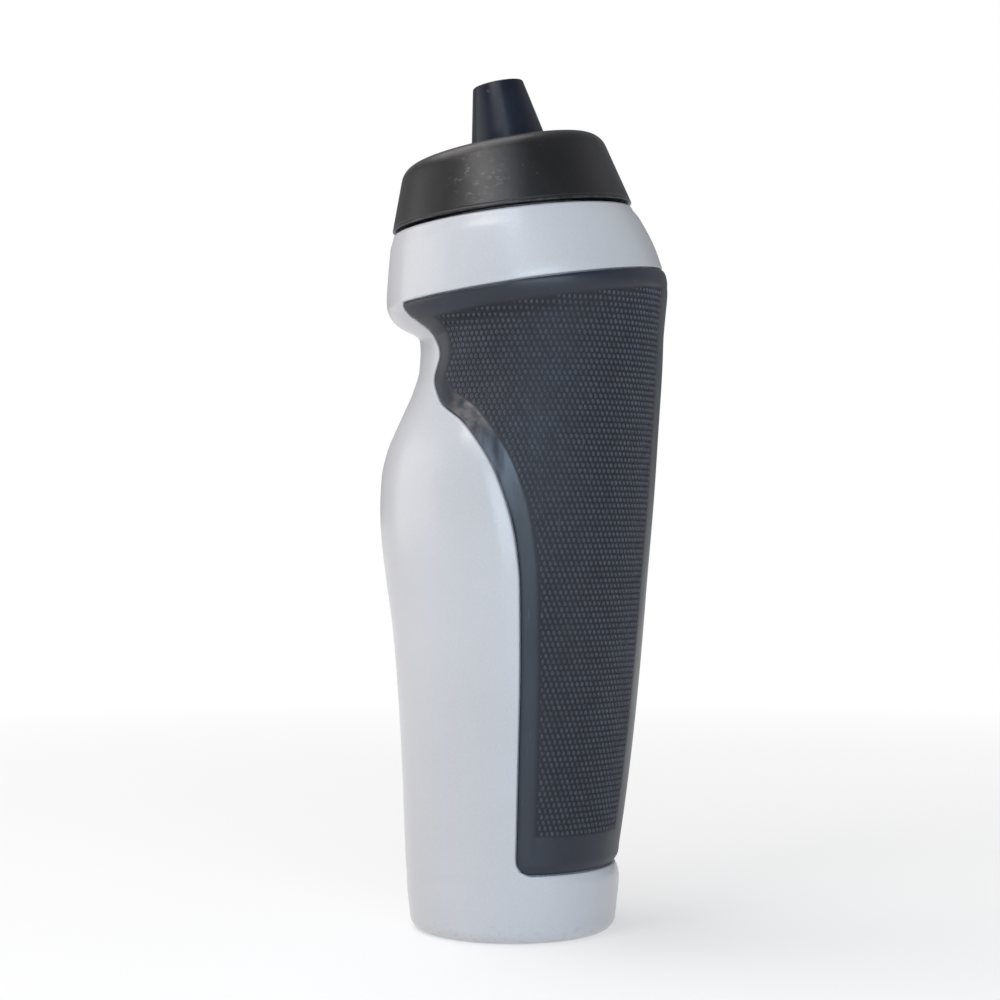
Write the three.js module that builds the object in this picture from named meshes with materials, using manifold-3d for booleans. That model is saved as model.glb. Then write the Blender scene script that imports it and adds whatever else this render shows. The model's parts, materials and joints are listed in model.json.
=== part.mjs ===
// Sports squeeze bottle: a waisted soft body with a leaning neck, a rubber grip laid into its back,
// a cone-shaped screw cap and a push-pull spout.
// Millimetres, +Z up. -X is the thumb side with the finger groove, +X the back of the grip, and the
// bottle is the same on both sides of the XZ plane. The dimensions are measured from the centre of
// the standing face; at the end the parts move along X, so that the origin is under the middle.
import * as THREE from "three";
import { mergeVertices } from "three/addons/utils/BufferGeometryUtils.js";
import Module from "manifold-3d";

const wasm = await Module();
wasm.setup();

// ---------------------------------------------------------------- driving dimensions
const SEGMENTS = 36; // around the body
const RING_SEGMENTS = 36; // around the neck and the closure
const SPOUT_SEGMENTS = 24;
const GAP = 0.3; // kept between pieces that touch

const NECK_LEAN = 7; // degrees the thread axis leans towards -X
const SHOULDER_LEAN = 8.25; // degrees the shoulder edge leans
const LEAN_STARTS = 95; // height where the sections begin to lean
const SHOULDER_LEVEL = 180.6;
const RIM_CENTRE = [-0.25, 0, 201.8]; // where the thread axis crosses the cap's lower rim

const RIM_RADIUS = 34.4; // cap rim and top of the shoulder
const RIM_GAP = 0.8; // the dark line between cap and shoulder
const BODY_WALL = 1.3;
const GRIP_THICKNESS = 1.2;
const GRIP_BED = GRIP_THICKNESS + GAP; // depth of the recess that the grip lies in
const WALL_UNDER_GRIP = GRIP_BED + 1.2; // from the outer surface to the inside, behind the grip

// The body's outline, level by level: reach to the front, to each side and to the back, the depth of
// the finger groove at the front, and how far the side lobe beside the grip stands out.
const LEVELS = [
  { level: 4, front: 29.4, side: 29.5, back: 29.2, groove: 0, lobe: 0 },
  { level: 12, front: 30.2, side: 30.2, back: 30.1, groove: 0, lobe: 0 },
  { level: 17.9, front: 30.5, side: 30.5, back: 30.4, groove: 0, lobe: 0 },
  { level: 19.8, front: 30.6, side: 30.6, back: 29.5, groove: 0, lobe: 0 },
  { level: 26, front: 30.9, side: 30.9, back: 30.6, groove: 0, lobe: 0 },
  { level: 45, front: 31.6, side: 31.7, back: 33.2, groove: 0, lobe: 0.2 },
  { level: 65, front: 32.7, side: 32.8, back: 35.4, groove: 0, lobe: 0.4 },
  { level: 85, front: 34.3, side: 33.9, back: 37.2, groove: 0, lobe: 0.7 },
  { level: 100, front: 36.3, side: 34.7, back: 38.4, groove: 0, lobe: 1.2 },
  { level: 110, front: 37.4, side: 35.2, back: 39.3, groove: 0, lobe: 1.6 },
  { level: 120, front: 37.9, side: 35.6, back: 40.2, groove: 0, lobe: 1.9 },
  { level: 130, front: 37.9, side: 35.9, back: 41.0, groove: 0.4, lobe: 1.8 },
  { level: 138, front: 37.8, side: 36.1, back: 41.6, groove: 1.9, lobe: 1.3 },
  { level: 144, front: 37.7, side: 36.2, back: 42.1, groove: 4.1, lobe: 0.7 },
  { level: 150, front: 37.6, side: 36.3, back: 42.6, groove: 6.6, lobe: 0.2 },
  { level: 156, front: 37.5, side: 36.4, back: 43.0, groove: 9.0, lobe: 0 },
  { level: 162, front: 37.4, side: 36.5, back: 43.3, groove: 10.5, lobe: 0 },
  { level: 167, front: 37.3, side: 36.7, back: 43.8, groove: 10.7, lobe: 0 },
  { level: 170.5, front: 37.2, side: 36.9, back: 44.2, groove: 10.4, lobe: 0 },
  { level: 172.3, front: 37.1, side: 37.0, back: 44.4, groove: 9.2, lobe: 0 },
  { level: 173.9, front: 37.0, side: 37.2, back: 44.5, groove: 6.6, lobe: 0 },
  { level: 176.2, front: 36.9, side: 37.4, back: 44.4, groove: 3.4, lobe: 0 },
  { level: 179, front: 36.8, side: 37.7, back: 43.9, groove: 1.3, lobe: 0 },
  { level: 181.5, front: 36.6, side: 37.8, back: 42.9, groove: 0.3, lobe: 0 },
  { level: 184, front: 36.4, side: 37.6, back: 42.1, groove: 0, lobe: 0 },
  { level: 187, front: 36.2, side: 37.2, back: 41.1, groove: 0, lobe: 0 },
  { level: 191.5, front: 35.8, side: 36.5, back: 39.2, groove: 0, lobe: 0 },
  { level: 195.5, front: 35.4, side: 35.8, back: 37.2, groove: 0, lobe: 0 },
  { level: 199.5, front: 34.9, side: 34.8, back: 35.0, groove: 0, lobe: 0 },
];
const GROOVE_FADE = 1.4; // how fast the finger groove dies out towards the back

const LOBE_IN = 5; // the side lobe ends this far inside the grip's front edge
const LOBE_OUT = 4; // and has its full height up to this far outside it

// The grip seen from the side: its bottom edge, the rounding of the corner there, and its front edge
// from the bottom up, in X and Z.
const GRIP_BOTTOM = 19.3;
const GRIP_CORNER = 3.4;
const GRIP_FRONT_EDGE = [
  [0.8, GRIP_BOTTOM + GRIP_CORNER],
  [1.2, 42],
  [1.9, 80],
  [1.8, 98],
  [0.7, 110],
  [-4.2, 127.5],
  [-13.4, 142.6],
  [-20.3, 148.8],
  [-22.1, 155],
  [-20.5, 162],
  [-22.3, 167.6],
  [-26.8, 171.3],
  [-29.7, 173.6],
  [-31.3, 176.1],
];
const GRIP_REACH = 60; // the outline runs past the back of the body to here

// The standing ring and the dome under the base, and the floor inside, as [radius, height].
const BASE_PROFILE = [
  [13, 4.0],
  [20.5, 1.2],
  [22.5, 0],
  [26.5, 0],
  [28.5, 1.2],
];
const BASE_DOME = 4.8;
const FLOOR_PROFILE = [
  [27.6, 5.2],
  [25.6, 2.6],
  [21.6, 2.7],
  [13, 5.8],
];
const FLOOR_DOME = 6.6;

// The neck and its thread, in the thread frame: its origin is on the axis at the cap's rim.
const NECK_BORE = 22;
const NECK_RADIUS = 24;
const NECK_HEIGHT = 10.5;
const LAND_HEIGHT = -RIM_GAP; // the flat shoulder top under the cap's rim
const LAND_THICKNESS = 1.7;
const THREAD_PITCH = 6;
const THREAD_DEPTH = 1.4;
const THREAD_ROOT = 2.2;
const THREAD_CREST = 1.2;
const NECK_THREAD = { radius: NECK_RADIUS, start: 2.8, from: 0, to: 1.0 };

// The cap's outer shell, in the thread frame.
const CAP_HEIGHT = 19.8; // on the axis
const CAP_HALF_ANGLE = 17.3;
const CAP_WALL = 1.6;
const CAP_EDGE_RADIUS = 6;
const CAP_TOP_LEAN = 3.5; // the top leans this much more than the rim

// The threaded insert inside the cap and the gasket under it.
const INSERT_BORE = 26;
const INSERT_RADIUS = 27.6;
const INSERT_FOOT = 0.5;
const INSERT_RIM = 1.4; // thickness of the rim that fills the cap's mouth
const GASKET_THICKNESS = 1.2;
const GASKET_INNER = 21;
const FLANGE_THICKNESS = 1.4;
const FLANGE_INNER = 17;
const INSERT_THREAD = { radius: INSERT_BORE, start: 5.8, from: -0.6, to: 0.5 };

// The valve tower and the spout, in the spout frame: its origin is on the cap's top face.
const SPOUT_OFFSET = 1.75; // towards +X from the thread axis
const SPOUT_HEIGHT = 18.8;
const SPOUT_FOOT_RADIUS = 11.1;
const SPOUT_TIP_RADIUS = 7.2;
const SPOUT_TRAVEL = 5;
const DRINK_HOLE = 3.3;
const SLEEVE_SKIRT = 1.8;
const CORE_RADIUS = 6.2;
const CORE_BORE = 5.2;
const CORE_FOOT = 0.8;
const CORE_TOP = 17.2;
const CORE_ROOF = 1.2;
const CORE_LIP = { radius: 4.8, thickness: 0.8 };
const TOWER_RADIUS = 4.5;
const TOWER_BORE = 3.0;
const TOWER_TOP = 12.5;
const STOP_BEAD = { radius: 5.0, height: 0.7 };
const O_RING = { radius: 4.6, section: 0.5, height: 10 };
const O_RING_BED = 3.8;
const POST_RADIUS = 1.2;
const POST_TOP = 17;
const SPIDER_LEGS = 3;
const SPIDER_THICKNESS = 1.2;
const SPIDER_HEIGHT = 2.0;
const PLUG_RADIUS = 3.0;
const PLUG_HEIGHT = 3.4;
const PLUG_TOP = 18.6;

const BLACK_PLASTIC = { color: 0x2e2d30, roughness: 0.55, metalness: 0 };
const SOFT_BLACK = { color: 0x2f343c, roughness: 0.62, metalness: 0 };
const BODY_GREY = { color: 0xc6c8cf, roughness: 0.38, metalness: 0 };
const SPOUT_BLACK = { color: 0x2b303a, roughness: 0.45, metalness: 0 };
const SILICONE = { color: 0xd9dad6, roughness: 0.6, metalness: 0 };

// ---------------------------------------------------------------- small helpers
const rad = THREE.MathUtils.degToRad;
const smooth = THREE.MathUtils.smoothstep;

// A value of a table at a key, on a smooth curve through the rows that doesn't overshoot them.
function along(table, key, name, at) {
  const last = table.length - 1;
  if (at <= table[0][key]) return table[0][name];
  if (at >= table[last][key]) return table[last][name];
  const i = table.findIndex((row) => row[key] > at) - 1;
  const slope = (k) => (table[k + 1][name] - table[k][name]) / (table[k + 1][key] - table[k][key]);
  const tangent = (k) => {
    if (k === 0) return slope(0);
    if (k === last) return slope(last - 1);
    const [before, after] = [slope(k - 1), slope(k)];
    return before * after <= 0 ? 0 : (2 * before * after) / (before + after);
  };
  const span = table[i + 1][key] - table[i][key];
  const s = (at - table[i][key]) / span;
  const [a, b] = [table[i][name], table[i + 1][name]];
  return (
    a * (1 + 2 * s) * (1 - s) ** 2 +
    b * s * s * (3 - 2 * s) +
    span * s * (1 - s) * (tangent(i) * (1 - s) - tangent(i + 1) * s)
  );
}

function toSolid(geometry) {
  const bare = geometry.clone();
  for (const name of Object.keys(bare.attributes)) if (name !== "position") bare.deleteAttribute(name);
  const merged = mergeVertices(bare, 1e-4);
  const mesh = new wasm.Mesh({
    numProp: 3,
    vertProperties: merged.attributes.position.array,
    triVerts: new Uint32Array(merged.index.array),
  });
  return new wasm.Manifold(mesh);
}

function toGeometry(solid) {
  const mesh = solid.getMesh();
  const geometry = new THREE.BufferGeometry();
  geometry.setAttribute("position", new THREE.BufferAttribute(mesh.vertProperties, 3));
  geometry.setIndex(new THREE.BufferAttribute(mesh.triVerts, 1));
  geometry.computeVertexNormals();
  return geometry;
}

// Skins a list of rings of equal length. A ring of one point closes an end; without end points the
// last ring joins the first, as on a tube bent into a closed wall.
function skin(rings) {
  const points = rings.flat();
  const starts = rings.map((_, i) => rings.slice(0, i).reduce((n, ring) => n + ring.length, 0));
  const faces = [];
  const closed = rings[0].length > 1;
  const bands = closed ? rings.length : rings.length - 1;
  const around = Math.max(...rings.map((ring) => ring.length));
  for (let i = 0; i < bands; i++) {
    const next = (i + 1) % rings.length;
    for (let j = 0; j < around; j++) {
      const k = (j + 1) % around;
      const lower = (n) => starts[i] + (rings[i].length > 1 ? n : 0);
      const upper = (n) => starts[next] + (rings[next].length > 1 ? n : 0);
      if (rings[i].length > 1) faces.push(lower(j), lower(k), upper(j));
      if (rings[next].length > 1) faces.push(lower(k), upper(k), upper(j));
    }
  }
  const geometry = new THREE.BufferGeometry();
  const flat = points.flatMap((p) => [p.x, p.y, p.z]);
  geometry.setAttribute("position", new THREE.Float32BufferAttribute(flat, 3));
  geometry.setIndex(faces);
  return geometry;
}

// A solid of revolution about Z from a closed outline of [radius, height] points. LatheGeometry
// turns about Y, so it is stood up.
function turned(outline, segments = RING_SEGMENTS) {
  const first = outline[0];
  const onAxis = first[0] === 0 && outline.at(-1)[0] === 0;
  const points = (onAxis ? outline : [...outline, first]).map(([r, z]) => new THREE.Vector2(r, z));
  return new THREE.LatheGeometry(points, segments).rotateX(Math.PI / 2);
}

function part(name, geometry, material) {
  const mesh = new THREE.Mesh(geometry, new THREE.MeshStandardMaterial(material));
  mesh.name = name;
  return mesh;
}

// ---------------------------------------------------------------- the body's surface
function leanAt(level) {
  const settle = (NECK_LEAN - SHOULDER_LEAN) * smooth(level, SHOULDER_LEVEL, RIM_CENTRE[2]);
  return rad(SHOULDER_LEAN * smooth(level, LEAN_STARTS, SHOULDER_LEVEL) + settle);
}

const frontEdge = GRIP_FRONT_EDGE.map(([x, z]) => ({ x, z }));

// A point of the bottle's outer surface, or of the surface lying `inset` behind it.
function surface(angle, level, inset = 0) {
  const at = (name) => along(LEVELS, "level", name, level);
  const [front, back, side] = [at("front"), at("back"), at("side")];
  const [centre, half] = [(back - front) / 2, (back + front) / 2];
  const [c, s] = [Math.cos(angle), Math.sin(angle)];
  const radial = new THREE.Vector2(half * c, side * s);
  const normal = new THREE.Vector2(c / half, s / side).normalize();
  const groove = at("groove") * ((1 - c) / 2) ** GROOVE_FADE;
  radial.multiplyScalar(1 - groove / radial.length());
  const edge = along(frontEdge, "z", "x", level);
  const lobe = at("lobe") * (1 - smooth(centre + radial.x, edge - LOBE_OUT, edge + LOBE_IN)) * s * s;
  radial.addScaledVector(normal, lobe - inset);
  const lean = leanAt(level);
  const x = centre + radial.x;
  return new THREE.Vector3(x * Math.cos(lean), radial.y, level + x * Math.sin(lean));
}

function ring(pointAt, segments = SEGMENTS) {
  return Array.from({ length: segments }, (_, i) => pointAt((2 * Math.PI * i) / segments));
}

// The thread frame's axes as a matrix, for rings of the neck that belong to the body's skin.
const threadFrame = new THREE.Matrix4().makeRotationY(-rad(NECK_LEAN)).setPosition(...RIM_CENTRE);

function neckRing(radius, height) {
  const pointAt = (a) => new THREE.Vector3(radius * Math.cos(a), radius * Math.sin(a), height);
  return ring((a) => pointAt(a).applyMatrix4(threadFrame));
}

function uprightRing([radius, height]) {
  return ring((a) => new THREE.Vector3(radius * Math.cos(a), radius * Math.sin(a), height));
}

// The body is thicker towards the inside where the grip's bed is cut into it.
function wallBehind(angle, level) {
  const point = surface(angle, level);
  const edge = along(frontEdge, "z", "x", point.z);
  const behindGrip = smooth(point.x, edge - 7, edge - 1);
  const inGrip = smooth(level, GRIP_BOTTOM - 6, GRIP_BOTTOM - 2) * (1 - smooth(level, 184, 190));
  const aboveWaist = smooth(level, 146, 152);
  return BODY_WALL + (WALL_UNDER_GRIP - BODY_WALL) * inGrip * Math.max(behindGrip, aboveWaist);
}

// ---------------------------------------------------------------- the grip's outline
// Moves a closed outline, drawn anticlockwise, outwards by a distance and keeps its corners sharp.
function grown(points, distance) {
  return points.map((point, i) => {
    const before = points[(i + points.length - 1) % points.length];
    const after = points[(i + 1) % points.length];
    const [a, b] = [point.clone().sub(before).normalize(), after.clone().sub(point).normalize()];
    const bisector = new THREE.Vector2(a.y + b.y, -a.x - b.x);
    return point.clone().addScaledVector(bisector, distance / (1 + a.dot(b)));
  });
}

// The grip seen from the side as a prism through the whole bottle.
function gripPrism(margin) {
  const topAt = (x) => SHOULDER_LEVEL + Math.tan(rad(SHOULDER_LEAN)) * x;
  const edge = new THREE.SplineCurve(GRIP_FRONT_EDGE.map(([x, z]) => new THREE.Vector2(x, z)));
  const [footX, footZ] = GRIP_FRONT_EDGE[0];
  const corner = new THREE.QuadraticBezierCurve(
    new THREE.Vector2(footX + GRIP_CORNER, GRIP_BOTTOM),
    new THREE.Vector2(footX, GRIP_BOTTOM),
    new THREE.Vector2(footX, footZ),
  );
  const outline = [
    new THREE.Vector2(GRIP_REACH, topAt(GRIP_REACH)),
    ...edge.getPoints(36).reverse(),
    ...corner.getPoints(4).reverse().slice(1),
    new THREE.Vector2(GRIP_REACH, GRIP_BOTTOM),
  ];
  const shape = new THREE.Shape(grown(outline, margin));
  const prism = new THREE.ExtrudeGeometry(shape, { depth: 100, bevelEnabled: false, steps: 1 });
  return prism.translate(0, 0, -50).rotateX(Math.PI / 2);
}

// A closed wall around the bottle between two insets of its surface.
function wallShell(outer, inner) {
  const levels = [10, ...LEVELS.map((row) => row.level).slice(2, -3)];
  return skin([
    ...levels.map((level) => ring((a) => surface(a, level, outer))),
    ...levels.reverse().map((level) => ring((a) => surface(a, level, inner))),
  ]);
}

// ---------------------------------------------------------------- threads
// A helical ridge of trapezoid section that stands out (sign 1) or in (sign -1) from a cylinder.
function threadRidge({ radius, start, from, to }, sign) {
  const steps = Math.round((to - from) * RING_SEGMENTS);
  const root = radius - sign * 0.4;
  const crest = radius + sign * THREAD_DEPTH;
  const sections = Array.from({ length: steps + 1 }, (_, i) => {
    const turn = from + ((to - from) * i) / steps;
    const runOut = Math.min(1, Math.min(i, steps - i) / 3 + 0.15);
    const height = start + THREAD_PITCH * turn;
    const angle = 2 * Math.PI * turn;
    const top = radius + (crest - radius) * runOut;
    const corners = [
      [root, -THREAD_ROOT / 2],
      [top, -THREAD_CREST / 2],
      [top, THREAD_CREST / 2],
      [root, THREAD_ROOT / 2],
    ];
    if (sign > 0) corners.reverse(); // keeps the faces outwards
    return corners.map(([r, z]) => new THREE.Vector3(r * Math.cos(angle), r * Math.sin(angle), height + z));
  });
  const middle = (points) => points.reduce((sum, p) => sum.add(p), new THREE.Vector3()).divideScalar(4);
  return toSolid(skin([[middle(sections[0])], ...sections, [middle(sections.at(-1))]]));
}

// ---------------------------------------------------------------- body and grip
function bottleBody() {
  const outer = LEVELS.map((row) => ring((a) => surface(a, row.level)));
  const inner = LEVELS.slice(1).map((row) => ring((a) => surface(a, row.level, wallBehind(a, row.level))));
  const underLand = LAND_HEIGHT - LAND_THICKNESS;
  const neck = [
    neckRing(RIM_RADIUS, LAND_HEIGHT - 0.8),
    neckRing(RIM_RADIUS - 0.8, LAND_HEIGHT),
    neckRing(NECK_RADIUS, LAND_HEIGHT),
    neckRing(NECK_RADIUS, NECK_HEIGHT - 0.6),
    neckRing(NECK_RADIUS - 0.6, NECK_HEIGHT),
    neckRing(NECK_BORE + 0.4, NECK_HEIGHT),
    neckRing(NECK_BORE, NECK_HEIGHT - 0.4),
    neckRing(NECK_BORE, underLand),
    neckRing(RIM_RADIUS - 3, underLand - 0.6),
  ];
  const shell = toSolid(
    skin([
      [new THREE.Vector3(0, 0, BASE_DOME)],
      ...BASE_PROFILE.map(uprightRing),
      ...outer,
      ...neck,
      ...inner.reverse(),
      ...FLOOR_PROFILE.map(uprightRing),
      [new THREE.Vector3(0, 0, FLOOR_DOME)],
    ]),
  );
  const thread = threadRidge(NECK_THREAD, 1).transform(threadFrame.elements);
  const bed = toSolid(wallShell(-6, GRIP_BED)).intersect(toSolid(gripPrism(GAP)));
  return toGeometry(shell.add(thread).subtract(bed));
}

function gripPanel() {
  return toGeometry(toSolid(wallShell(0, GRIP_THICKNESS)).intersect(toSolid(gripPrism(0))));
}

// ---------------------------------------------------------------- cap
// Radius of the cap's cone at a height, `inset` behind its outer surface.
function coneRadius(inset, height) {
  const half = rad(CAP_HALF_ANGLE);
  return RIM_RADIUS - inset / Math.cos(half) - height * Math.tan(half);
}

// The cap's cone with its rounded edge and leaning top, lying `inset` inside the outer surface, as a
// list of rings from the rim up, without the middle of the top.
function capRings(inset, foot, edgeRadius) {
  const half = rad(CAP_HALF_ANGLE);
  const steps = 5;
  const profile = (angle) => {
    const slope = Math.tan(rad(CAP_TOP_LEAN)) * Math.cos(angle);
    const top = CAP_HEIGHT - inset;
    // The corner where the cone meets the top, and the rounding that starts on the cone.
    const cornerRadius = coneRadius(inset, top) / (1 + slope * Math.tan(half));
    const corner = new THREE.Vector2(cornerRadius, top + slope * cornerRadius);
    const down = new THREE.Vector2(Math.sin(half), -Math.cos(half));
    const inwards = new THREE.Vector2(-1, -slope).normalize();
    const opening = Math.acos(down.dot(inwards));
    const reach = edgeRadius / Math.tan(opening / 2);
    const start = corner.clone().addScaledVector(down, reach);
    const end = corner.clone().addScaledVector(inwards, reach);
    const bisector = down.clone().add(inwards).normalize();
    const centre = corner.clone().addScaledVector(bisector, edgeRadius / Math.sin(opening / 2));
    const from = start.clone().sub(centre).angle();
    const turn = Math.PI - opening;
    const arc = Array.from({ length: steps + 1 }, (_, i) => {
      const a = from + (turn * i) / steps;
      return new THREE.Vector2(Math.cos(a), Math.sin(a)).multiplyScalar(edgeRadius).add(centre);
    });
    arc[steps].copy(end);
    return [new THREE.Vector2(coneRadius(inset, foot), foot), ...arc];
  };
  const profiles = ring((a) => ({ angle: a, points: profile(a) }), RING_SEGMENTS);
  return profiles[0].points.map((_, k) =>
    profiles.map(({ angle, points }) => {
      const p = points[k];
      return new THREE.Vector3(p.x * Math.cos(angle), p.x * Math.sin(angle), p.y);
    }),
  );
}

const spoutFrame = new THREE.Matrix4()
  .makeRotationY(-rad(CAP_TOP_LEAN))
  .setPosition(SPOUT_OFFSET, 0, CAP_HEIGHT + SPOUT_OFFSET * Math.tan(rad(CAP_TOP_LEAN)));

function valveTower() {
  const ringBed = O_RING.section + GAP;
  const beadFoot = CORE_FOOT + CORE_LIP.thickness + SPOUT_TRAVEL + GAP;
  const tube = toSolid(
    turned(
      [
        [TOWER_BORE, -CAP_WALL - 2],
        [TOWER_RADIUS, -CAP_WALL - 2],
        [TOWER_RADIUS, beadFoot],
        [STOP_BEAD.radius, beadFoot],
        [STOP_BEAD.radius, beadFoot + STOP_BEAD.height - 0.3],
        [TOWER_RADIUS, beadFoot + STOP_BEAD.height],
        [TOWER_RADIUS, O_RING.height - ringBed],
        [O_RING_BED, O_RING.height - ringBed],
        [O_RING_BED, O_RING.height + ringBed],
        [TOWER_RADIUS, O_RING.height + ringBed],
        [TOWER_RADIUS, TOWER_TOP - 0.4],
        [TOWER_RADIUS - 0.4, TOWER_TOP],
        [TOWER_BORE, TOWER_TOP],
      ],
      SPOUT_SEGMENTS,
    ),
  );
  const postFoot = TOWER_TOP - SPIDER_HEIGHT;
  const post = toSolid(
    turned(
      [
        [0, postFoot],
        [POST_RADIUS, postFoot],
        [POST_RADIUS, POST_TOP],
        [0, POST_TOP],
      ],
      SPOUT_SEGMENTS,
    ),
  );
  const legs = Array.from({ length: SPIDER_LEGS }, (_, i) =>
    toSolid(
      new THREE.BoxGeometry(TOWER_BORE + 0.4, SPIDER_THICKNESS, SPIDER_HEIGHT)
        .translate((TOWER_BORE + 0.4) / 2, 0, TOWER_TOP - SPIDER_HEIGHT / 2)
        .rotateZ((2 * Math.PI * i) / SPIDER_LEGS),
    ),
  );
  return legs.reduce((sum, leg) => sum.add(leg), tube.add(post));
}

function capShell() {
  const outer = capRings(0, 0, CAP_EDGE_RADIUS);
  const inner = capRings(CAP_WALL, -5, CAP_EDGE_RADIUS - CAP_WALL);
  const topAt = (inset) => [new THREE.Vector3(0, 0, CAP_HEIGHT - inset)];
  const foot = (rings) => [new THREE.Vector3(0, 0, rings[0][0].z)];
  const cone = toSolid(skin([foot(outer), ...outer, topAt(0)]));
  const hollow = toSolid(skin([foot(inner), ...inner, topAt(CAP_WALL)]));
  const bore = toSolid(turned([[0, -8], [TOWER_BORE, -8], [TOWER_BORE, 4], [0, 4]], SPOUT_SEGMENTS));
  const shell = cone.subtract(hollow).subtract(bore.transform(spoutFrame.elements));
  return toGeometry(shell.add(valveTower().transform(spoutFrame.elements)));
}

function threadInsert() {
  const flangeFoot = NECK_HEIGHT + GASKET_THICKNESS + 2 * GAP;
  const flangeTop = flangeFoot + FLANGE_THICKNESS;
  const rimTop = INSERT_FOOT + INSERT_RIM;
  const body = toSolid(
    turned([
      [INSERT_BORE + 0.5, INSERT_FOOT],
      [coneRadius(CAP_WALL, INSERT_FOOT) - GAP, INSERT_FOOT],
      [coneRadius(CAP_WALL, rimTop) - GAP, rimTop],
      [INSERT_RADIUS, rimTop],
      [INSERT_RADIUS, flangeTop - 0.5],
      [INSERT_RADIUS - 0.5, flangeTop],
      [FLANGE_INNER, flangeTop],
      [FLANGE_INNER, flangeFoot],
      [INSERT_BORE, flangeFoot],
      [INSERT_BORE, INSERT_FOOT + 0.5],
    ]),
  );
  return toGeometry(body.add(threadRidge(INSERT_THREAD, -1)));
}

function capGasket() {
  const foot = NECK_HEIGHT + GAP;
  return turned([
    [GASKET_INNER, foot],
    [INSERT_BORE - GAP, foot],
    [INSERT_BORE - GAP, foot + GASKET_THICKNESS],
    [GASKET_INNER, foot + GASKET_THICKNESS],
  ]);
}

// ---------------------------------------------------------------- valve and spout
function towerORing() {
  const circle = Array.from({ length: 10 }, (_, i) => {
    const a = (2 * Math.PI * i) / 10;
    return [O_RING.radius + O_RING.section * Math.cos(a), O_RING.height + O_RING.section * Math.sin(a)];
  });
  return turned(circle, SPOUT_SEGMENTS);
}

function plugTip() {
  const foot = PLUG_TOP - PLUG_HEIGHT;
  return turned(
    [
      [POST_RADIUS + GAP, foot],
      [PLUG_RADIUS - 0.4, foot],
      [PLUG_RADIUS, foot + 0.5],
      [PLUG_RADIUS, PLUG_TOP - 0.5],
      [PLUG_RADIUS - 0.5, PLUG_TOP],
      [0, PLUG_TOP],
      [0, POST_TOP + GAP],
      [POST_RADIUS + GAP, POST_TOP + GAP],
    ],
    SPOUT_SEGMENTS,
  );
}

function spoutCore() {
  const roofFoot = CORE_TOP - CORE_ROOF;
  return turned(
    [
      [CORE_LIP.radius, CORE_FOOT],
      [CORE_RADIUS, CORE_FOOT],
      [CORE_RADIUS, CORE_TOP],
      [DRINK_HOLE, CORE_TOP],
      [DRINK_HOLE, roofFoot],
      [CORE_BORE, roofFoot - 0.6],
      [CORE_BORE, CORE_FOOT + CORE_LIP.thickness],
      [CORE_LIP.radius, CORE_FOOT + CORE_LIP.thickness - 0.2],
    ],
    SPOUT_SEGMENTS,
  );
}

function spoutSleeve() {
  const radiusAt = (height) =>
    SPOUT_FOOT_RADIUS + ((SPOUT_TIP_RADIUS - SPOUT_FOOT_RADIUS) * height) / SPOUT_HEIGHT;
  const bore = CORE_RADIUS + GAP;
  const skirtTop = 7; // the sleeve is hollow up to here and hugs the core above
  return turned(
    [
      [radiusAt(0) - SLEEVE_SKIRT, GAP],
      [radiusAt(GAP), GAP],
      [radiusAt(SPOUT_HEIGHT - 0.8), SPOUT_HEIGHT - 0.8],
      [radiusAt(SPOUT_HEIGHT) - 0.9, SPOUT_HEIGHT],
      [DRINK_HOLE, SPOUT_HEIGHT],
      [DRINK_HOLE, CORE_TOP + GAP],
      [bore, CORE_TOP + GAP],
      [bore, skirtTop],
      [radiusAt(skirtTop - 1.5) - SLEEVE_SKIRT, skirtTop - 1.5],
    ],
    SPOUT_SEGMENTS,
  );
}

// ---------------------------------------------------------------- assembly
const bottle = new THREE.Group();
bottle.add(part("bottle_body", bottleBody(), BODY_GREY), part("grip_panel", gripPanel(), SOFT_BLACK));

const closure = new THREE.Group();
closure.applyMatrix4(threadFrame);
closure.add(
  part("cap_shell", capShell(), BLACK_PLASTIC),
  part("thread_insert", threadInsert(), BLACK_PLASTIC),
  part("cap_gasket", capGasket(), SILICONE),
);

const spout = new THREE.Group();
spout.applyMatrix4(spoutFrame);
spout.add(
  part("tower_o_ring", towerORing(), SILICONE),
  part("plug_tip", plugTip(), SOFT_BLACK),
  part("spout_core", spoutCore(), BLACK_PLASTIC),
  part("spout_sleeve", spoutSleeve(), SPOUT_BLACK),
);
closure.add(spout);
bottle.add(closure);

// The back reaches further than the front, so the parts move until the origin is under the middle.
bottle.updateMatrixWorld(true);
const box = new THREE.Box3().setFromObject(bottle, true);
bottle.position.x = -(box.min.x + box.max.x) / 2;

export default bottle;
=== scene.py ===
"""Looks of the sports squeeze bottle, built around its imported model.

Shapes are worked out in millimetres in the frame of the standing face, and every mesh is written in
metres in the row's frame. -X is the thumb side with the finger groove, +X the back of the grip.
"""

import json
import math

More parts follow.
